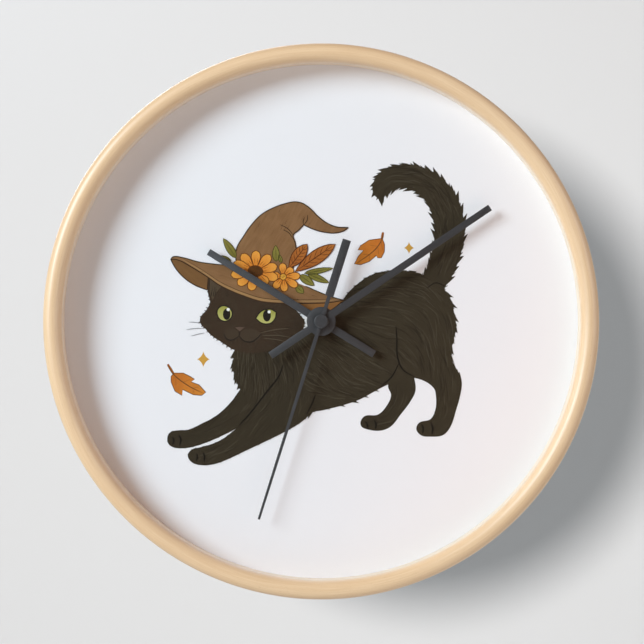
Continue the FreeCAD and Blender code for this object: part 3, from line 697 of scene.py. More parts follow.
FALLING = [([(28.3, 38.4), (22.2, 37.6), (18.2, 35), (17, 33.1), (19.6, 32.8), (17.1, 30), (15.4, 26.6), (18.2, 26.2),
             (22.2, 27.7), (25.5, 30.5), (26.1, 29.4), (27.8, 29.4), (29.2, 32.2), (29.3, 35.6)],
            [(28.6, 41.2), (28, 37.8), (25, 33.3), (16.5, 26.9)]),
           ([(-68.1, -23.9), (-63.8, -23.9), (-60.7, -25.4), (-58.6, -26.7), (-60.1, -28), (-56.4, -29.4),
             (-53.4, -32.8),
             (-55.3, -34.2), (-59.1, -33.9), (-64.1, -31.5), (-64.4, -34.2), (-67.6, -32.3), (-69.4, -28),
             (-69.4, -25.4)],
            [(-71, -19.8), (-68.1, -24.6), (-61.7, -29.6), (-54.8, -33.1)])]
SPARKLES = [(40.6, 34, 2.5, 2.9), (-54.5, -17.5, 3.1, 3.8)]
LEFT_EYE = [(-48.2, 4.2), (-47.3, 6.3), (-45.4, 7.3), (-43.3, 6.8), (-41.3, 4.6), (-41.3, 2.5), (-42.8, 0.6),
            (-44.8, 0.1), (-46.9, 1)]
RIGHT_EYE = [(-30.2, 1.4), (-28.7, 3.8), (-26.1, 5.5), (-23.1, 5.6), (-20.8, 4.2), (-21.2, 1.6), (-22.9, -0.5),
             (-25.3, -1.2), (-28.1, -0.5)]
NOSE = [(-40.2, -2.7), (-37.7, -2.4), (-35.2, -2.7), (-37.7, -4.7)]
MUZZLE = [[(-37.7, -4.7), (-37.9, -6.9)], [(-44.9, -5.6), (-43.9, -8), (-41.6, -8.7), (-37.9, -6.9)],
          [(-37.9, -6.9), (-35.6, -9.1), (-32.1, -9.4), (-29.6, -7.8), (-27.6, -5.6)]]
PALE_WHISKERS = [[(-56, -0.9), (-58.6, -0.4), (-61.3, -0.3)], [(-55, -3.2), (-58.6, -3.3), (-62.4, -3.8)],
                 [(-54, -5.3), (-57, -5.9), (-60.2, -6.8)]]
SOFT_WHISKERS = [[(-28.3, -5.4), (-21.9, -3.9), (-15, -3.2)], [(-27, -6.5), (-19.7, -6.5), (-13.9, -7.4)],
                 [(-26.6, -7.8), (-20.6, -8.4), (-15.4, -9.7)]]

# Single tufts: (x, z, degrees, length, width)
TUFTS = [(-38.2, -13.2, 232, 5.6, 3.4), (-39.2, -18.6, 248, 5.6, 3.4), (-38.6, -24.6, 255, 5, 3),
         (-4.6, -40.2, 256, 5.2, 3.2), (-8, -43.6, 240, 4.8, 3.2), (-2.3, -38.3, -18, 7, 3.6), (4.8, -37, -18, 7, 3.4),
         (11, -35.5, -16, 7, 3.4), (15.5, -33.1, -15, 7, 3.2), (20.3, -30.2, -16, 7, 3.2), (-12.4, -46.6, 232, 4, 2.6)]
# Right of and below this spot, on belly and hind legs, fur edges have only the single tufts
SMOOTH_FUR = (-3, -26)
# Creases between the limbs: points and width
CREASES = [([(-17.6, -20), (-19.4, -25), (-25.2, -32.6), (-33.4, -43.1), (-38, -48.2)], 0.8),
           ([(-2.7, -33.9), (-4.2, -38), (-6.8, -43)], 0.6),
           ([(34.6, -2), (35, -8.4), (35.2, -15.5), (37.6, -22.1), (43.2, -25.7)], 0.7),
           ([(36.1, -19.1), (32.5, -25.7), (27.9, -29.8)], 0.6),
           ([(49, 15.6), (53, 17.8), (57, 16.4)], 0.5),
           ([(-38.4, -11.6), (-31, -13.6), (-21, -12.8), (-13, -9.4)], 0.7)]
TOES = [[(-54.6, -60.6), (-53.9, -62.6), (-54.2, -64.9)], [(-57.6, -61.2), (-57.2, -62.8), (-57.8, -64.6)],
        [(-65.9, -52.6), (-64.9, -54.4), (-65.4, -57.4)], [(-68.9, -53.4), (-68.1, -54.9), (-68.7, -56.9)],
        [(20.6, -46.4), (21.4, -48), (21.2, -49.6)], [(24.6, -45.6), (25.4, -47.4), (25, -49.8)],
        [(46.4, -47.6), (47.2, -49.4), (46.9, -51.6)], [(50.7, -46.8), (51.6, -49.2), (51.2, -52.2)]]

# Which way the fur lies: (x, z, degrees up from the x axis)
LAY_TAIL = [(48, 20, 60), (56, 28, 65), (59, 42, 90), (57, 54, 115), (48, 65, 150), (38, 67, 180), (30, 64, 215),
            (27, 58, 245)]
LAY_BODY = [(8, 0, -25), (12, 8, 10), (25, 14, 5), (40, 15, -10), (52, 10, -45), (56, -5, -85), (30, -5, -15),
            (15, -15, -35), (5, -25, -50), (20, -28, -20), (38, -20, -45), (50, -20, -75), (57, -25, -85),
            (58, -38, -100), (55, -47, -120), (48, -50, 180), (-2, -39, -14), (8, -37, -10), (17, -35, -8),
            (26, -31, -12), (38, -32, -95), (37, -40, -125), (27, -47, -170)]
LAY_HEAD = [(-44, 12, 110), (-30, 12, 80), (-18, 8, 35), (-12, 0, 0), (-20, -10, -40), (-35, -12, -90), (-48, -6, -140),
            (-53, 3, 175)]
LAY_FRONT = [(-36, -14, -95), (-35, -22, -95), (-28, -25, -85), (-15, -20, -70), (-5, -12, -45), (-45, -42, -145),
             (-60, -53, -165), (-30, -45, -135), (-45, -58, -150), (-15, -42, -110), (-5, -38, -90)]


# ------------------------------------------------------------------ operators, one for each piece or group of pieces
class CLOCK_OT_frame(bpy.types.Operator):
    """Make the bent wood frame with its round front edge"""
    bl_idname = "clock.frame"
    bl_label = "Wood frame"

    def execute(self, context):
        sizes, tones = context.scene.clock_sizes, context.scene.clock_colours
        nose, rebate, back = sizes.nose / MM, sizes.rebate / MM, sizes.back_round / MM
        rim = front("wood_frame") - nose  # depth of the round edge's centre
        floor = front("clear_front")
        bm = bmesh.new()
        across = bm.verts.layers.float.new("across")
        profile = [(rebate, floor), (BEZEL - 2 * nose, floor)]
        profile += arc(BEZEL - nose, rim, nose, 180, 0, 26)
        profile += [(BEZEL, rim - 8), (BEZEL, rim - 20)]
        profile += arc(BEZEL - back, back, back, 0, -90, 4) + [(rebate + 0.3, 0.0), (rebate, 0.3), (rebate, 17.0)]
        lathe(bm, profile, 288, across=across)
        wipe(bm)
        piece("bent_wood_frame", bm, [bent_wood("satin_bent_beech", tones.wood, tones.wood_dark)], "clock_body",
              ["wood_frame"])
        return {"FINISHED"}


class CLOCK_OT_spacer(bpy.types.Operator):
    """Make the paler ring that holds the clear front off the dial"""
    bl_idname = "clock.spacer"
    bl_label = "Spacer ring"

    def execute(self, context):
        sizes, tones = context.scene.clock_sizes, context.scene.clock_colours
        low, high = SHEET, front("spacer_ring")
        inner, outer = BEZEL - 2 * sizes.nose / MM, radius("spacer_ring")
        bm = bmesh.new()
        across = bm.verts.layers.float.new("across")
        profile = [(outer, low), (inner + 0.2, low), (inner, low + 0.2), (inner, high - 4), (inner, high - 0.25),
                   (inner + 0.25, high), (outer, high)]
        lathe(bm, profile, 288, across=across)
        wipe(bm)
        dark = [0.82 * c for c in tones.spacer]
        piece("pale_spacer_ring", bm, [bent_wood("satin_bent_birch", tones.spacer, dark)], "clock_body",
              ["spacer_ring"])
        return {"FINISHED"}


def hand_outline(blade, tail, hub):
    """A hand's outline with 12 o'clock up; blade and tail are (distance, width) from the middle outwards."""
    w, v = blade[0][1] / 2, tail[0][1] / 2
    a, b = math.degrees(math.asin(w / hub)), math.degrees(math.asin(v / hub))
    right = [(width / 2, far) for far, width in blade[1:]]
    low = [(width / 2, -far) for far, width in tail[1:]]
    line = right[::-1]
    line += arc(0, 0, hub, 90 - a, -90 + b, 22)
    line += low + [(-x, z) for x, z in low[::-1]]
    line += arc(0, 0, hub, 270 - b, 90 + a, 22)
    line += [(-x, z) for x, z in right]
    return line


def stamped_hand(name, outline, hole, layer, boss, edge, angle, material, body, nodes):
    """A flat hand stamped from sheet, its edges rounded, with a round boss behind it."""
    bm = bmesh.new()
    rings = [outline, arc(0, 0, hole, 0, 345, 23)]
    edges = []
    for ring in rings:
        verts = [bm.verts.new(place(x, z, layer[0])) for x, z in ring]
        edges += [bm.edges.new(pair) for pair in zip(verts, verts[1:] + verts[:1])]
    bmesh.ops.triangle_fill(bm, use_beauty=True, edges=edges)
    flat = bmesh.ops.extrude_face_region(bm, geom=bm.faces[:])["geom"]
    bmesh.ops.translate(bm, verts=[v for v in flat if isinstance(v, bmesh.types.BMVert)],
                        vec=(0, (layer[0] - layer[1]) * MM, 0))
    wipe(bm)
    flat_edges = [e for e in bm.edges if len(e.link_faces) == 2 and e.calc_face_angle(0) > 1.2
                  and abs(e.verts[0].co.y - e.verts[1].co.y) < 1e-7]
    bmesh.ops.bevel(bm, geom=flat_edges, offset=edge, affect="EDGES", segments=2, profile=0.5, material=-1,
                    clamp_overlap=True)
    wide, low = boss
    lathe(bm, [(hole, low), (wide - 0.15, low), (wide, low + 0.15), (wide, layer[0] + 0.05), (hole, layer[0] + 0.05)],
          40)
    wipe(bm)
    bmesh.ops.rotate(bm, verts=bm.verts, cent=place(0, 0, 0), matrix=Matrix.Rotation(math.radians(angle), 3, "Y"))
    return piece(name, bm, [material], body, nodes, smooth=50)


class CLOCK_OT_hands(bpy.types.Operator):
    """Make the hour, minute and seconds hands and the seconds hand's cap"""
    bl_idname = "clock.hands"
    bl_label = "Hands"

    def execute(self, context):
        sizes, tones = context.scene.clock_sizes, context.scene.clock_colours
        paint = painted_metal(tones.hands)
        hub = sizes.hub / MM
        face = front("hour_hand")
        outline = hand_outline([(0, 3.5), (61.0, 3.1)], [(0, 3.5), (28.7, 3.5)], hub)
        stamped_hand("painted_hour_hand", outline, 2.5, (face - 0.5, face), (3.4, face - 1.2), sizes.edge,
                     HOUR_ANGLE, paint, "hour", ["hour_hand"])
        face = front("minute_hand")
        outline = hand_outline([(0, 3.4), (93.7, 3.1)], [(0, 3.4), (28.1, 3.4)], hub)
        stamped_hand("painted_minute_hand", outline, 1.7, (face - 0.5, face), (2.8, face - 1.1), sizes.edge,
                     MINUTE_ANGLE, paint, "minute", ["minute_hand"])
        face = front("seconds_hand")
        outline = hand_outline([(0, 1.8), (95.3, 1.1)], [(0, 1.75), (12, 1.75), (12.01, 3.9), (39.3, 3.9)], 2.2)
        stamped_hand("painted_seconds_hand", outline, 0.5, (face - 0.3, face), (1.1, face - 0.8), sizes.edge * 0.6,
                     SECONDS_ANGLE, paint, "seconds", ["seconds_hand"])
        r, top = sizes.cap / MM, front("seconds_cap")
        bm = bmesh.new()
        profile = [(0.0, face + 0.2), (0.5, face + 0.2), (0.5, face), (r - 0.15, face), (r, face + 0.15)]
        profile += arc(r - 0.4, top - 0.4, 0.4, 0, 75, 5) + [(r * 0.7, top - 0.02), (0.0, top)]
        lathe(bm, profile, 64, closed=False)
        wipe(bm)
        piece("painted_seconds_cap", bm, [paint], "seconds", ["seconds_cap"], smooth=50)
        return {"FINISHED"}


class CLOCK_OT_cat(bpy.types.Operator):
    """Print the cat's tail, body, chest and legs on the dial"""
    bl_idname = "clock.cat"
    bl_label = "Printed cat"

    def execute(self, context):
        sizes, tones = context.scene.clock_sizes, context.scene.clock_colours
        long, tuft = sizes.hair / MM, sizes.tuft / MM
        dark = [0.72 * c for c in tones.fur]
        inks = [ink("fur_ink_back", tones.fur, dark, 4, 0.6, -20, 0.45),
                ink("fur_ink_tail", tones.fur, dark, 4, 0.6, 80, 0.45),
                ink("fur_ink_chest", [0.93 * c for c in tones.fur], dark, 4, 0.6, -80, 0.5),
                ink("light_hair_ink", tones.fur_light, tones.fur, 3, 0.4, 0, 0.5),
                ink("dark_hair_ink", tones.fur_dark, dark, 3, 0.4, 0, 0.4),
                ink("crease_ink", linear("#17130e"), linear("#1f1a13"), 3, 0.4, 0, 0.4)]
        sheet = Print(sizes.ink)
        # outline, level, ink, lay, share of the tuft length, how far tufts turn outwards, strands, seed
        parts = [(FAR_HIND, 1.0, 2, LAY_BODY, 0.1, 0.4, 60, 1), (TAIL, 2.0, 1, LAY_TAIL, 1.0, 0.42, 260, 2),
                 (BODY, 3.0, 0, LAY_BODY, 0.75, 0.3, 560, 3), (FAR_FRONT, 4.0, 2, LAY_FRONT, 0.1, 0.4, 60, 4),
                 (CHEST, 5.0, 2, LAY_FRONT, 0.8, 0.42, 300, 5), (NEAR_FRONT, 5.75, 2, LAY_FRONT, 0.1, 0.4, 90, 6)]
        for points, level, tone, guides, rough, turn_out, count, seed in parts:
            outline = smooth_line(points, closed=True, steps=6)
            sheet.patch(outline, level, tone)
            tufts(sheet, outline, level + 0.05, tone, guides, tuft * 2.5 * rough + 0.3, 3.9, 1.0 + 1.6 * rough,
                  turn_out, seed)
            tufts(sheet, outline, level + 0.2, tone, guides, tuft * 1.1 * rough + 0.2, 1.7, 1.0, turn_out, seed + 20)
            strands(sheet, outline, level + 0.35, (3, 4), guides, count, 8, 0.34, seed + 10)
            hairs(sheet, outline, level + 0.67, (3, 4), guides, 0.12, long, 0.26, seed + 30)
        for i, (x, z, turn, reach, width) in enumerate(TUFTS):
            sheet.hair(x, z, math.radians(turn), reach, width, -0.06 * reach, 5.3 + 0.03 * i, 2)
        for points, width in CREASES:
            sheet.line(smooth_line(points, steps=8), width, 6.8, 5)
        for points in TOES:
            sheet.line(smooth_line(points, steps=5), 0.85, 6.8, 5, ends=0.4)
        piece("cat_print", sheet.bm, inks, "clock_body", smooth=0)
        return {"FINISHED"}


class CLOCK_OT_face(bpy.types.Operator):
    """Print the cat's head with its ear, eyes, nose and whiskers"""
    bl_idname = "clock.face"
    bl_label = "Printed cat's face"

    def execute(self, context):
        sizes, tones = context.scene.clock_sizes, context.scene.clock_colours
        dark = [0.75 * c for c in tones.fur_head]
        inks = [ink("fur_ink_head", tones.fur_head, dark, 3, 0.6, -60, 0.45),
                ink("light_hair_ink_head", tones.fur_light, tones.fur_head, 3, 0.4, 0, 0.5),
                ink("dark_hair_ink_head", tones.fur_dark, dark, 3, 0.4, 0, 0.4),
                ink("ear_ink", linear("#554939"), tones.fur_head, 3, 0.5, 75, 0.6),
                ink("iris_ink", tones.eye, linear("#85863c"), 1.2, 0.25, 90, 0.4, tip=tones.eye_low, cloud=3),
                ink("pupil_ink", linear("#231f1a"), linear("#1b1814"), 2, 0.5, 0, 0.3),
                ink("highlight_ink", linear("#f2f3f0"), linear("#dfe2e4"), 1, 1, 0, 0.3),
                ink("nose_ink", linear("#5e4c40"), linear("#4f4034"), 1.5, 0.5, 0, 0.4),
                ink("muzzle_ink", linear("#43382b"), tones.fur_head, 2, 0.8, -30, 0.5),
                ink("grey_whisker_ink", linear("#8d8f92"), linear("#75777a"), 2, 0.5, 0, 0.4),
                ink("soft_whisker_ink", linear("#5d5343"), tones.fur_head, 2, 0.5, 0, 0.3)]
        sheet = Print(sizes.ink)
        outline = smooth_line(HEAD, closed=True, steps=6)
        sheet.patch(outline, 7.0, 0)
        tufts(sheet, outline, 7.05, 0, LAY_HEAD, 0.9 * sizes.tuft / MM, 1.6, 1.2, 0.4, 21)
        for i, (x, z, turn, reach, width) in enumerate(((-52.6, 3.4, 205, 3.6, 2.8), (-52.8, 0.4, 195, 3.2, 2.4),
                                                        (-10.4, 0.6, -42, 3.6, 2.6), (-11, -3.4, -15, 3.6, 2.6))):
            sheet.hair(x, z, math.radians(turn), reach, width, 0.2, 7.2 + 0.03 * i, 0)
        hairs(sheet, outline, 7.35, (1, 2), LAY_HEAD, 0.3, 0.9 * sizes.hair / MM, 0.24, 22)
        sheet.patch(smooth_line(EAR, closed=True), 7.7, 3)
        for x in (-51, -50, -49.2):
            sheet.hair(x, 11.5, math.radians(75), 5.5, 0.5, 0.8, 7.75, 2)
        for x, z, rx, rz in ((-41.6, -6.0, 3.6, 2.7), (-32.9, -6.4, 5.0, 3.0)):
            sheet.patch(oval(x, z, rx, rz), 7.7, 8)
        for points in MUZZLE:
            sheet.line(smooth_line(points, steps=6), 0.6, 7.85, 5)
        sheet.patch(smooth_line(NOSE, closed=True), 7.9, 7)
        sheet.line(smooth_line(NOSE, closed=True), 0.2, 7.95, 2, closed=True)
        for outline, low, top, pupil, shine in ((LEFT_EYE, 0.1, 7.3, (-43.7, 3.3, 1.75, 2.65), (-43.0, 5.5, 0.75)),
                                                (RIGHT_EYE, -1.2, 5.6, (-25.1, 2.7, 1.85, 2.75), (-24.1, 4.4, 0.7))):
            outline = smooth_line(outline, closed=True)
            middle_x = sum(p[0] for p in outline) / len(outline)
            sheet.patch(outline, 7.8, 4, ((middle_x, top), (middle_x, low)))
            sheet.patch(oval(*pupil), 7.9, 5)
            sheet.line(outline, 0.55, 7.95, 5, closed=True)
            sheet.patch(oval(shine[0], shine[1], shine[2], shine[2]), 8.1, 6)
        for points in PALE_WHISKERS:
            sheet.line(smooth_line(points, steps=6), 0.32, 8.0, 9)
        for points in SOFT_WHISKERS:
            sheet.line(smooth_line(points, steps=6), 0.3, 8.0, 10)
        piece("cat_face_print", sheet.bm, inks, "clock_body", smooth=0)
        return {"FINISHED"}


class CLOCK_OT_hat(bpy.types.Operator):
    """Print the pointed felt hat with its bent top and wide brim"""
    bl_idname = "clock.hat"
    bl_label = "Printed hat"

    def execute(self, context):
        sizes, tones = context.scene.clock_sizes, context.scene.clock_colours
        inks = [ink("hat_ink_crown", tones.hat, tones.hat_dark, 7, 1.0, 60, 0.75),
                ink("hat_ink_brim", tones.hat, tones.hat_dark, 9, 0.8, -18, 0.7),
                ink("hat_ink_under", tones.under, [0.7 * c for c in tones.under], 6, 0.8, -50, 0.7),
                ink("hat_ink_under_right", linear("#966738"), linear("#7b532d"), 5, 0.7, 5, 0.6),
                ink("hat_outline_ink", tones.outline, [0.7 * c for c in tones.outline], 3, 0.5, 0, 0.4),
                ink("hat_edge_ink", linear("#a27f52"), tones.hat, 8, 0.5, -15, 0.5)]
        sheet = Print(sizes.ink)
        for points, level, tone in ((UNDER_LEFT, 8.6, 2), (UNDER_RIGHT, 8.6, 3), (CROWN, 8.9, 0)):
            outline = smooth_line(points, closed=True, steps=6)
            sheet.patch(outline, level, tone)
            sheet.line(outline, 0.5, level + 0.15, 4, closed=True)
        back, edge = smooth_line(BRIM_BACK, steps=6), smooth_line(BRIM_FRONT, steps=6)
        sheet.patch(back[:-1] + edge[:-1], 9.3, 1)
        sheet.line(back[:int(len(back) * 0.55)], 0.5, 9.45, 4, ends=0.7)
        sheet.line(back[int(len(back) * 0.72):], 0.5, 9.45, 4, ends=0.7)
        sheet.line(edge, 0.55, 9.5, 4, ends=0.6)
        rim = [(x, z + 0.95) for x, z in edge[4:-8]]
        sheet.line(rim, 1.1, 9.4, 5, ends=0.1)
        sheet.line([(x, z + 0.75) for x, z in rim], 0.25, 9.45, 4, ends=0.1)
        for fold in FOLDS:
            sheet.line(smooth_line(fold, steps=6), 0.4, 9.2, 4)
        pick = random.Random(5)
        crown, brim = smooth_line(CROWN, closed=True), back[:-1] + edge[:-1]
        for outline, level, tone, turn, count in ((crown, 9.1, 4, 60, 60), (brim, 9.42, 4, -16, 60)):
            for _ in range(count):  # thin brush strokes
                x, z = pick.uniform(-66, 10), pick.uniform(9, 54)
                lay = math.radians(turn + pick.gauss(0, 9))
                far = (x + 4 * math.cos(lay), z + 4 * math.sin(lay))
                if inside(x, z, outline) and inside(*far, outline):
                    sheet.hair(x, z, lay, pick.uniform(2, 4), 0.14, 0.2, level, tone)
        piece("hat_print", sheet.bm, inks, "clock_body", smooth=0)
        return {"FINISHED"}


class CLOCK_OT_flowers(bpy.types.Operator):
    """Print the two flowers and the leaves on the hat"""
    bl_idname = "clock.flowers"
    bl_label = "Printed flowers"

    def execute(self, context):
        sizes, tones = context.scene.clock_sizes, context.scene.clock_colours
        inks = [ink("petal_ink", tones.petal, linear("#c06a20"), 3, 0.5, 90, 0.3, tip=tones.petal_tip, cloud=4),
                ink("flower_outline_ink", linear("#6b3a16"), linear("#4d2a10"), 2, 0.4, 0, 0.4),
                ink("flower_disc_ink", tones.disc, linear("#432a10"), 1.0, 0.7, 20, 0.8, cloud=2),
                ink("small_disc_ink", linear("#d9a23f"), linear("#c48a30"), 1.0, 0.7, 20, 0.6, cloud=2),
                ink("green_leaf_ink", tones.green, linear("#666226"), 3, 0.5, 40, 0.5, tip=tones.green_tip),
                ink("green_outline_ink", linear("#4c4a20"), linear("#3c3a18"), 2, 0.4, 0, 0.4),
                ink("rust_leaf_ink", tones.rust, linear("#8a4c1e"), 3, 0.5, 45, 0.5, tip=tones.rust_tip),
                ink("rust_vein_ink", linear("#5e3217"), linear("#4a2711"), 2, 0.4, 0, 0.4)]
        sheet = Print(sizes.ink)
        for i, (base, tip, width) in enumerate(GREEN_LEAVES):
            level = 9.7 + 0.06 * i
            outline = leaf_shape(base, tip, width)
            sheet.patch(outline, level, 4, (base, tip))
            sheet.line(outline, 0.34, level + 0.15, 5, closed=True)
            sheet.line([base, tuple(Vector(base).lerp(Vector(tip), 0.45)), tuple(Vector(base).lerp(Vector(tip), 0.85))],
                       0.3, level + 0.2, 5)
        for i, (base, tip, width) in enumerate(FEATHERS):
            level = 10.5 - 0.3 * i
            outline = leaf_shape(base, tip, width, blunt=1.15)
            sheet.patch(outline, level, 6, (base, tip))
            sheet.line(outline, 0.45, level + 0.12, 7, closed=True)
            run = Vector(tip) - Vector(base)
            side = Vector((-run.y, run.x)).normalized()
            sheet.line([tuple(Vector(base) + run * t) for t in (0, 0.3, 0.6, 0.92)], 0.45, level + 0.16, 7)
            for t in (0.2, 0.34, 0.48, 0.62, 0.75):
                for s in (-1, 1):
                    start = Vector(base) + run * t
                    half = width * 0.42 * math.sin(math.pi * (t + 0.12) ** 1.15) ** 0.75
                    sheet.line([tuple(start), tuple(start + run * 0.07 + side * s * half * 0.55),
                                tuple(start + run * 0.16 + side * s * half)], 0.34, level + 0.16, 7)
        for (middle_spot, tips), width, core, level in ((SMALL_FLOWER, 3.5, 1.5, 10.8), (LARGE_FLOWER, 4.3, 3.5, 12.0)):
            for i, tip in enumerate(tips):
                way = (Vector(tip) - Vector(middle_spot)).normalized()
                base = tuple(Vector(middle_spot) + way * core * 0.5)
                outline = petal_shape(base, tip, width)
                here = level + 0.11 * ((i * 3) % 10)
                sheet.patch(outline, here, 0, (base, tip))
                sheet.line(outline, 0.36, here + 0.05, 1, closed=True)
                side = Vector((-way.y, way.x))
                for s in (-0.16, 0.1):
                    root = Vector(base) + way * core * 0.4 + side * s * width
                    sheet.line([tuple(root), tuple(root + way * 1.6), tuple(root + way * 3.0 + side * s)], 0.22,
                               here + 0.08, 1, ends=0.1)
            disc = oval(*middle_spot, core, core * (0.75 if core > 2 else 1.0), -5)
            sheet.patch(disc, level + 1.15, 2 if core > 2 else 3)
            sheet.line(disc, 0.34, level + 1.25, 1, closed=True)
            pick = random.Random(3)
            for _ in range(26 if core > 2 else 8):
                reach, turn = core * pick.uniform(0.1, 0.8), pick.uniform(0, 2 * math.pi)
                sheet.patch(oval(middle_spot[0] + reach * math.cos(turn), middle_spot[1] + reach * 0.7 * math.sin(turn),
                                 0.16, 0.16, steps=6), level + 1.35, 1)
        piece("flowers_print", sheet.bm, inks, "clock_body", smooth=0)
        return {"FINISHED"}


class CLOCK_OT_leaves(bpy.types.Operator):
    """Print the two falling leaves and the two sparkles"""
    bl_idname = "clock.leaves"
    bl_label = "Printed leaves and sparkles"

    def execute(self, context):
        sizes, tones = context.scene.clock_sizes, context.scene.clock_colours
        inks = [ink("falling_leaf_ink", linear("#c4712a"), linear("#a95c22"), 3, 0.6, 40, 0.5, tip=linear("#db9038")),
                ink("falling_leaf_outline_ink", linear("#6b4526"), linear("#54361c"), 2, 0.4, 0, 0.4),
                ink("gold_sparkle_ink", tones.gold, linear("#c08f38"), 1.5, 0.8, 45, 0.4)]
        sheet = Print(sizes.ink)
        for points, rib in FALLING:
            sheet.patch(points, 1.0, 0, (rib[1], rib[-1]))
            sheet.line(points, 0.36, 1.15, 1, closed=True)
            sheet.line(smooth_line(rib, steps=6), 0.45, 1.2, 1)
            stem = smooth_line(rib[:2], steps=4)
            sheet.line(stem, 1.2, 0.7, 1, ends=0.75)
            sheet.line(stem, 0.75, 0.85, 0, ends=0.75)
            for t, reach in ((0.42, 0.5), (0.6, 0.42), (0.78, 0.3)):
                line = smooth_line(rib, steps=6)
                x, z = line[int(t * (len(line) - 1))]
                way = (Vector(rib[-1]) - Vector(rib[1])).normalized()
                side = Vector((-way.y, way.x))
                for s in (-1, 1):
                    end = Vector((x, z)) + way * 2.2 + side * s * reach * 7
                    if inside(end.x, end.y, points):
                        sheet.line([(x, z), tuple(end)], 0.22, 1.2, 1, ends=0.5)
        for x, z, rx, rz in SPARKLES:
            star = [(x + rx * math.cos(t) ** 3, z + rz * math.sin(t) ** 3)
                    for t in (2 * math.pi * i / 40 for i in range(40))]
            sheet.patch(star, 1.0, 2)
        piece("leaves_and_sparkles_print", sheet.bm, inks, "clock_body", smooth=0)
        return {"FINISHED"}


class CLOCK_OT_finishes(bpy.types.Operator):
    """Give the clear front, the dial and the movement's parts their materials"""
    bl_idname = "clock.finishes"
    bl_label = "Finishes of the fitted parts"

    def execute(self, context):
        paper = matt_paper(context.scene.clock_colours.paper)
        acetal = moulded("natural_acetal_moulding", "#e6e1d0", 0.34, 0.5, 0.008)
        steel = metal("zinc_plated_steel", "#b9bcc0", 0.34, 6, 0.2, 0)
        brass = metal("turned_brass", "#c9a255", 0.28, 5, 0.12, 20, 0.7)
        finishes = {
            clear_acrylic(): ["clear_front"], paper: ["dial_sheet"], hardboard(): ["dial_board"],
            steel: ["framing_points", "cover_screws", "pillars", "stator_screws"],
            metal("rolled_galvanised_steel", "#a9adb0", 0.4, 14, 0.25, 90, 0.7): ["hanger"],
            moulded("black_rubber", "#17171a", 0.75, 0.5, 0.02, 0.3): ["rubber_washer"],
            brass: ["brass_washer", "mounting_nut"],
            moulded("spark_textured_black_abs", "#1d1e20", 0.5, 0.4, 0.03): ["movement_case", "movement_cover"],
            moulded("white_glass_filled_nylon", "#d3d3cc", 0.5, 0.4,
                    0.015): ["middle_plate", "rear_plate", "coil_bobbin"],
            circuit_laminate(): ["circuit_board"], moulded("black_epoxy", "#141416", 0.38, 0.3, 0.01): ["chip"],
            metal("nickel_plated_can", "#cfd0d2", 0.22, 4, 0.3, 0): ["quartz_crystal"],
            metal("punched_silicon_steel", "#8e9297", 0.42, 8, 0.2, 0): ["stator", "coil_core"],
            wound_wire(): ["coil_winding"], cell_sleeve(): ["battery"],
            metal("nickel_plated_spring_strip", "#c9c6bb", 0.25, 6, 0.15, 90): ["negative_contact", "positive_contact"],
            metal("sintered_magnet_and_pinion", "#3a3c40", 0.5, 0.4, 0.4, 0): ["rotor"],
            acetal: ["intermediate_wheel", "seconds_wheel", "third_wheel", "minute_wheel", "reversal_wheel",
                     "hour_wheel"],
            moulded("ribbed_black_acetal", "#1a1b1d", 0.42, 0.4, 0.015): ["setting_knob"]}
        for material, nodes in finishes.items():
            for node in nodes:
                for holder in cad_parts[node].material_slots:
                    holder.material = material
        return {"FINISHED"}


def lamp(name, width, power, spot, aim, tone):
    """A round soft light at spot, turned to aim."""
    data = bpy.data.lights.new(name, "AREA")
    data.shape, data.size, data.energy, data.color = "DISK", width, power, linear(tone)
    made = bpy.data.objects.new(name, data)
    made.location = spot
    made.rotation_euler = (Vector(aim) - Vector(spot)).to_track_quat("-Z", "Y").to_euler()
    made.visible_camera = False
    bpy.context.scene.collection.objects.link(made)
    return made


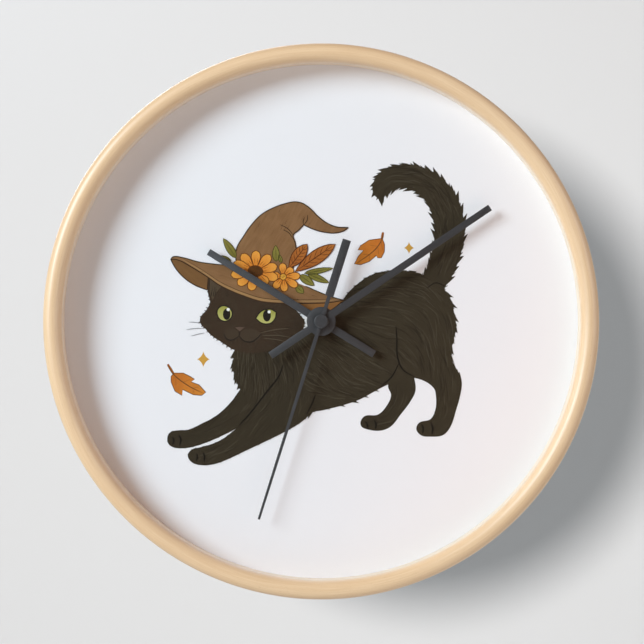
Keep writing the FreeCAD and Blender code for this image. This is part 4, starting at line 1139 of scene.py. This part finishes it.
class CLOCK_OT_stage(bpy.types.Operator):
    """Set up the pale floor and backdrop, the soft lights and the camera"""
    bl_idname = "clock.stage"
    bl_label = "Stage, lights and camera"

    def execute(self, context):
        scene, sizes = context.scene, context.scene.clock_sizes
        scene.view_settings.view_transform = "Standard"
        low, back, half = -0.75, 1.7, 7.0  # floor height, backdrop distance and half the width of both, in metres

        def sheet(name, material, line):
            bm = bmesh.new()
            verts = [bm.verts.new((-half, y, z)) for y, z in line]
            edge = bm.edges.new(verts)
            side = bmesh.ops.extrude_edge_only(bm, edges=[edge])["geom"]
            bmesh.ops.translate(bm, verts=[v for v in side if isinstance(v, bmesh.types.BMVert)], vec=(2 * half, 0, 0))
            mesh = bpy.data.meshes.new(name)
            bm.to_mesh(mesh)
            bm.free()
            mesh.materials.append(material)
            made = bpy.data.objects.new(name, mesh)
            scene.collection.objects.link(made)
            return made

        pale = matt_paint("matt_pale_backdrop", (0.615, 0.697, 0.729), (0.626, 0.711, 0.743))
        ground = matt_paint("matt_pale_floor", (0.70, 0.70, 0.70), (0.72, 0.72, 0.72))
        wall = sheet("backdrop", pale, [(back, low), (back, 3.0)])
        floor = sheet("floor", ground, [(-half, low), (back, low)])

        eye = place(0.37, -0.27, front("wood_frame") + (sizes.camera - sizes.nose) / MM)
        middle_spot, far = place(0, 0, 20), 3.0
        way = Vector((-0.724, -0.602, 0.337)).normalized()  # low from the left, so the lip shades the dial's left edge
        key = lamp("key_light", 1.45, 101, middle_spot + far * way, middle_spot, "#e4f4ff")
        shade_light = lamp("backdrop_light", 0.066, 73.5, place(-98, 41, 1316), place(326, -90, -1700), "#ffefe9")
        glow = lamp("warm_light", 0.2, 0.09, place(190, -90, 180), place(80, -30, 20), "#ff9a50")
        sheen = lamp("frame_light", 2.6, 24, middle_spot + far * Vector((0.83, -0.52, 0.2)).normalized(), middle_spot,
                     "#eaf2ff")
        even = bpy.data.lights.new("floor_light", "SUN")  # straight down, so the whole floor is equally bright
        even.energy, even.angle, even.color = 1.95, math.radians(25), linear("#f0fbff")
        above = bpy.data.objects.new("floor_light", even)
        scene.collection.objects.link(above)
        rear = lamp("back_light", 1.4, 16, middle_spot + Vector((-0.7, 1.5, 0.9)), middle_spot, "#f6f8ff")
        ring, lip = bpy.data.objects["bent_wood_frame"], bpy.data.objects["pale_spacer_ring"]
        # what each lamp leaves out (EXCLUDE), or the only things that it reaches (INCLUDE)
        for light, state, things in ((key, "EXCLUDE", [wall, floor]), (rear, "EXCLUDE", [floor]),
                                     (glow, "EXCLUDE", [ring, wall, floor]), (shade_light, "INCLUDE", [wall]),
                                     (sheen, "INCLUDE", [ring, lip]), (above, "INCLUDE", [floor])):
            lit = bpy.data.collections.new(light.name + "_reach")
            light.light_linking.receiver_collection = lit
            for i, thing in enumerate(things):
                lit.objects.link(thing)
                lit.collection_objects[i].light_linking.link_state = state

        world = bpy.data.worlds.new("pale_room")
        scene.world = world
        world.use_nodes = True
        # the room is pale to look at, its bounced light dim and warm
        seen = add(world, "LightPath").outputs["Is Camera Ray"]
        dim, light = rgba((0.255, 0.180, 0.155)), rgba((0.52, 0.53, 0.54))
        room = add(world, "Mix", {0: seen, 6: dim, 7: light}, data_type="RGBA").outputs[2]
        world.node_tree.links.new(room, world.node_tree.nodes["Background"].inputs["Color"])

        data = bpy.data.cameras.new("camera")
        data.sensor_width, data.lens, data.clip_start = 36.0, 36.0 * sizes.camera / sizes.view, 0.05
        camera = bpy.data.objects.new("camera", data)
        camera.location, camera.rotation_euler = eye, (math.pi / 2, 0, 0)
        scene.collection.objects.link(camera)
        scene.camera = camera
        return {"FINISHED"}


class CLOCK_PT_panel(bpy.types.Panel):
    """Lists the clock's pieces, sizes and colours"""
    bl_label = "Wall clock"
    bl_idname = "CLOCK_PT_panel"
    bl_space_type = "VIEW_3D"
    bl_region_type = "UI"
    bl_category = "Wall clock"

    def draw(self, context):
        for group in (context.scene.clock_sizes, context.scene.clock_colours):
            box = self.layout.box()
            for key in group.bl_rna.properties.keys():
                if key not in ("rna_type", "name"):
                    box.prop(group, key)
        for step in STEPS:
            self.layout.operator(step.bl_idname)


STEPS = (CLOCK_OT_frame, CLOCK_OT_spacer, CLOCK_OT_hands, CLOCK_OT_cat, CLOCK_OT_face, CLOCK_OT_hat, CLOCK_OT_flowers,
         CLOCK_OT_leaves, CLOCK_OT_finishes, CLOCK_OT_stage)


def register():
    for part in (ClockSizes, ClockColours, *STEPS, CLOCK_PT_panel):
        bpy.utils.register_class(part)
    bpy.types.Scene.clock_sizes = bpy.props.PointerProperty(type=ClockSizes)
    bpy.types.Scene.clock_colours = bpy.props.PointerProperty(type=ClockColours)


def unregister():
    del bpy.types.Scene.clock_colours
    del bpy.types.Scene.clock_sizes
    for part in (CLOCK_PT_panel, *reversed(STEPS), ClockColours, ClockSizes):
        bpy.utils.unregister_class(part)


def main():
    register()
    for step in STEPS:
        area, name = step.bl_idname.split(".")
        getattr(getattr(bpy.ops, area), name)()
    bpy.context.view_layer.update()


if __name__ == "__main__":
    main()
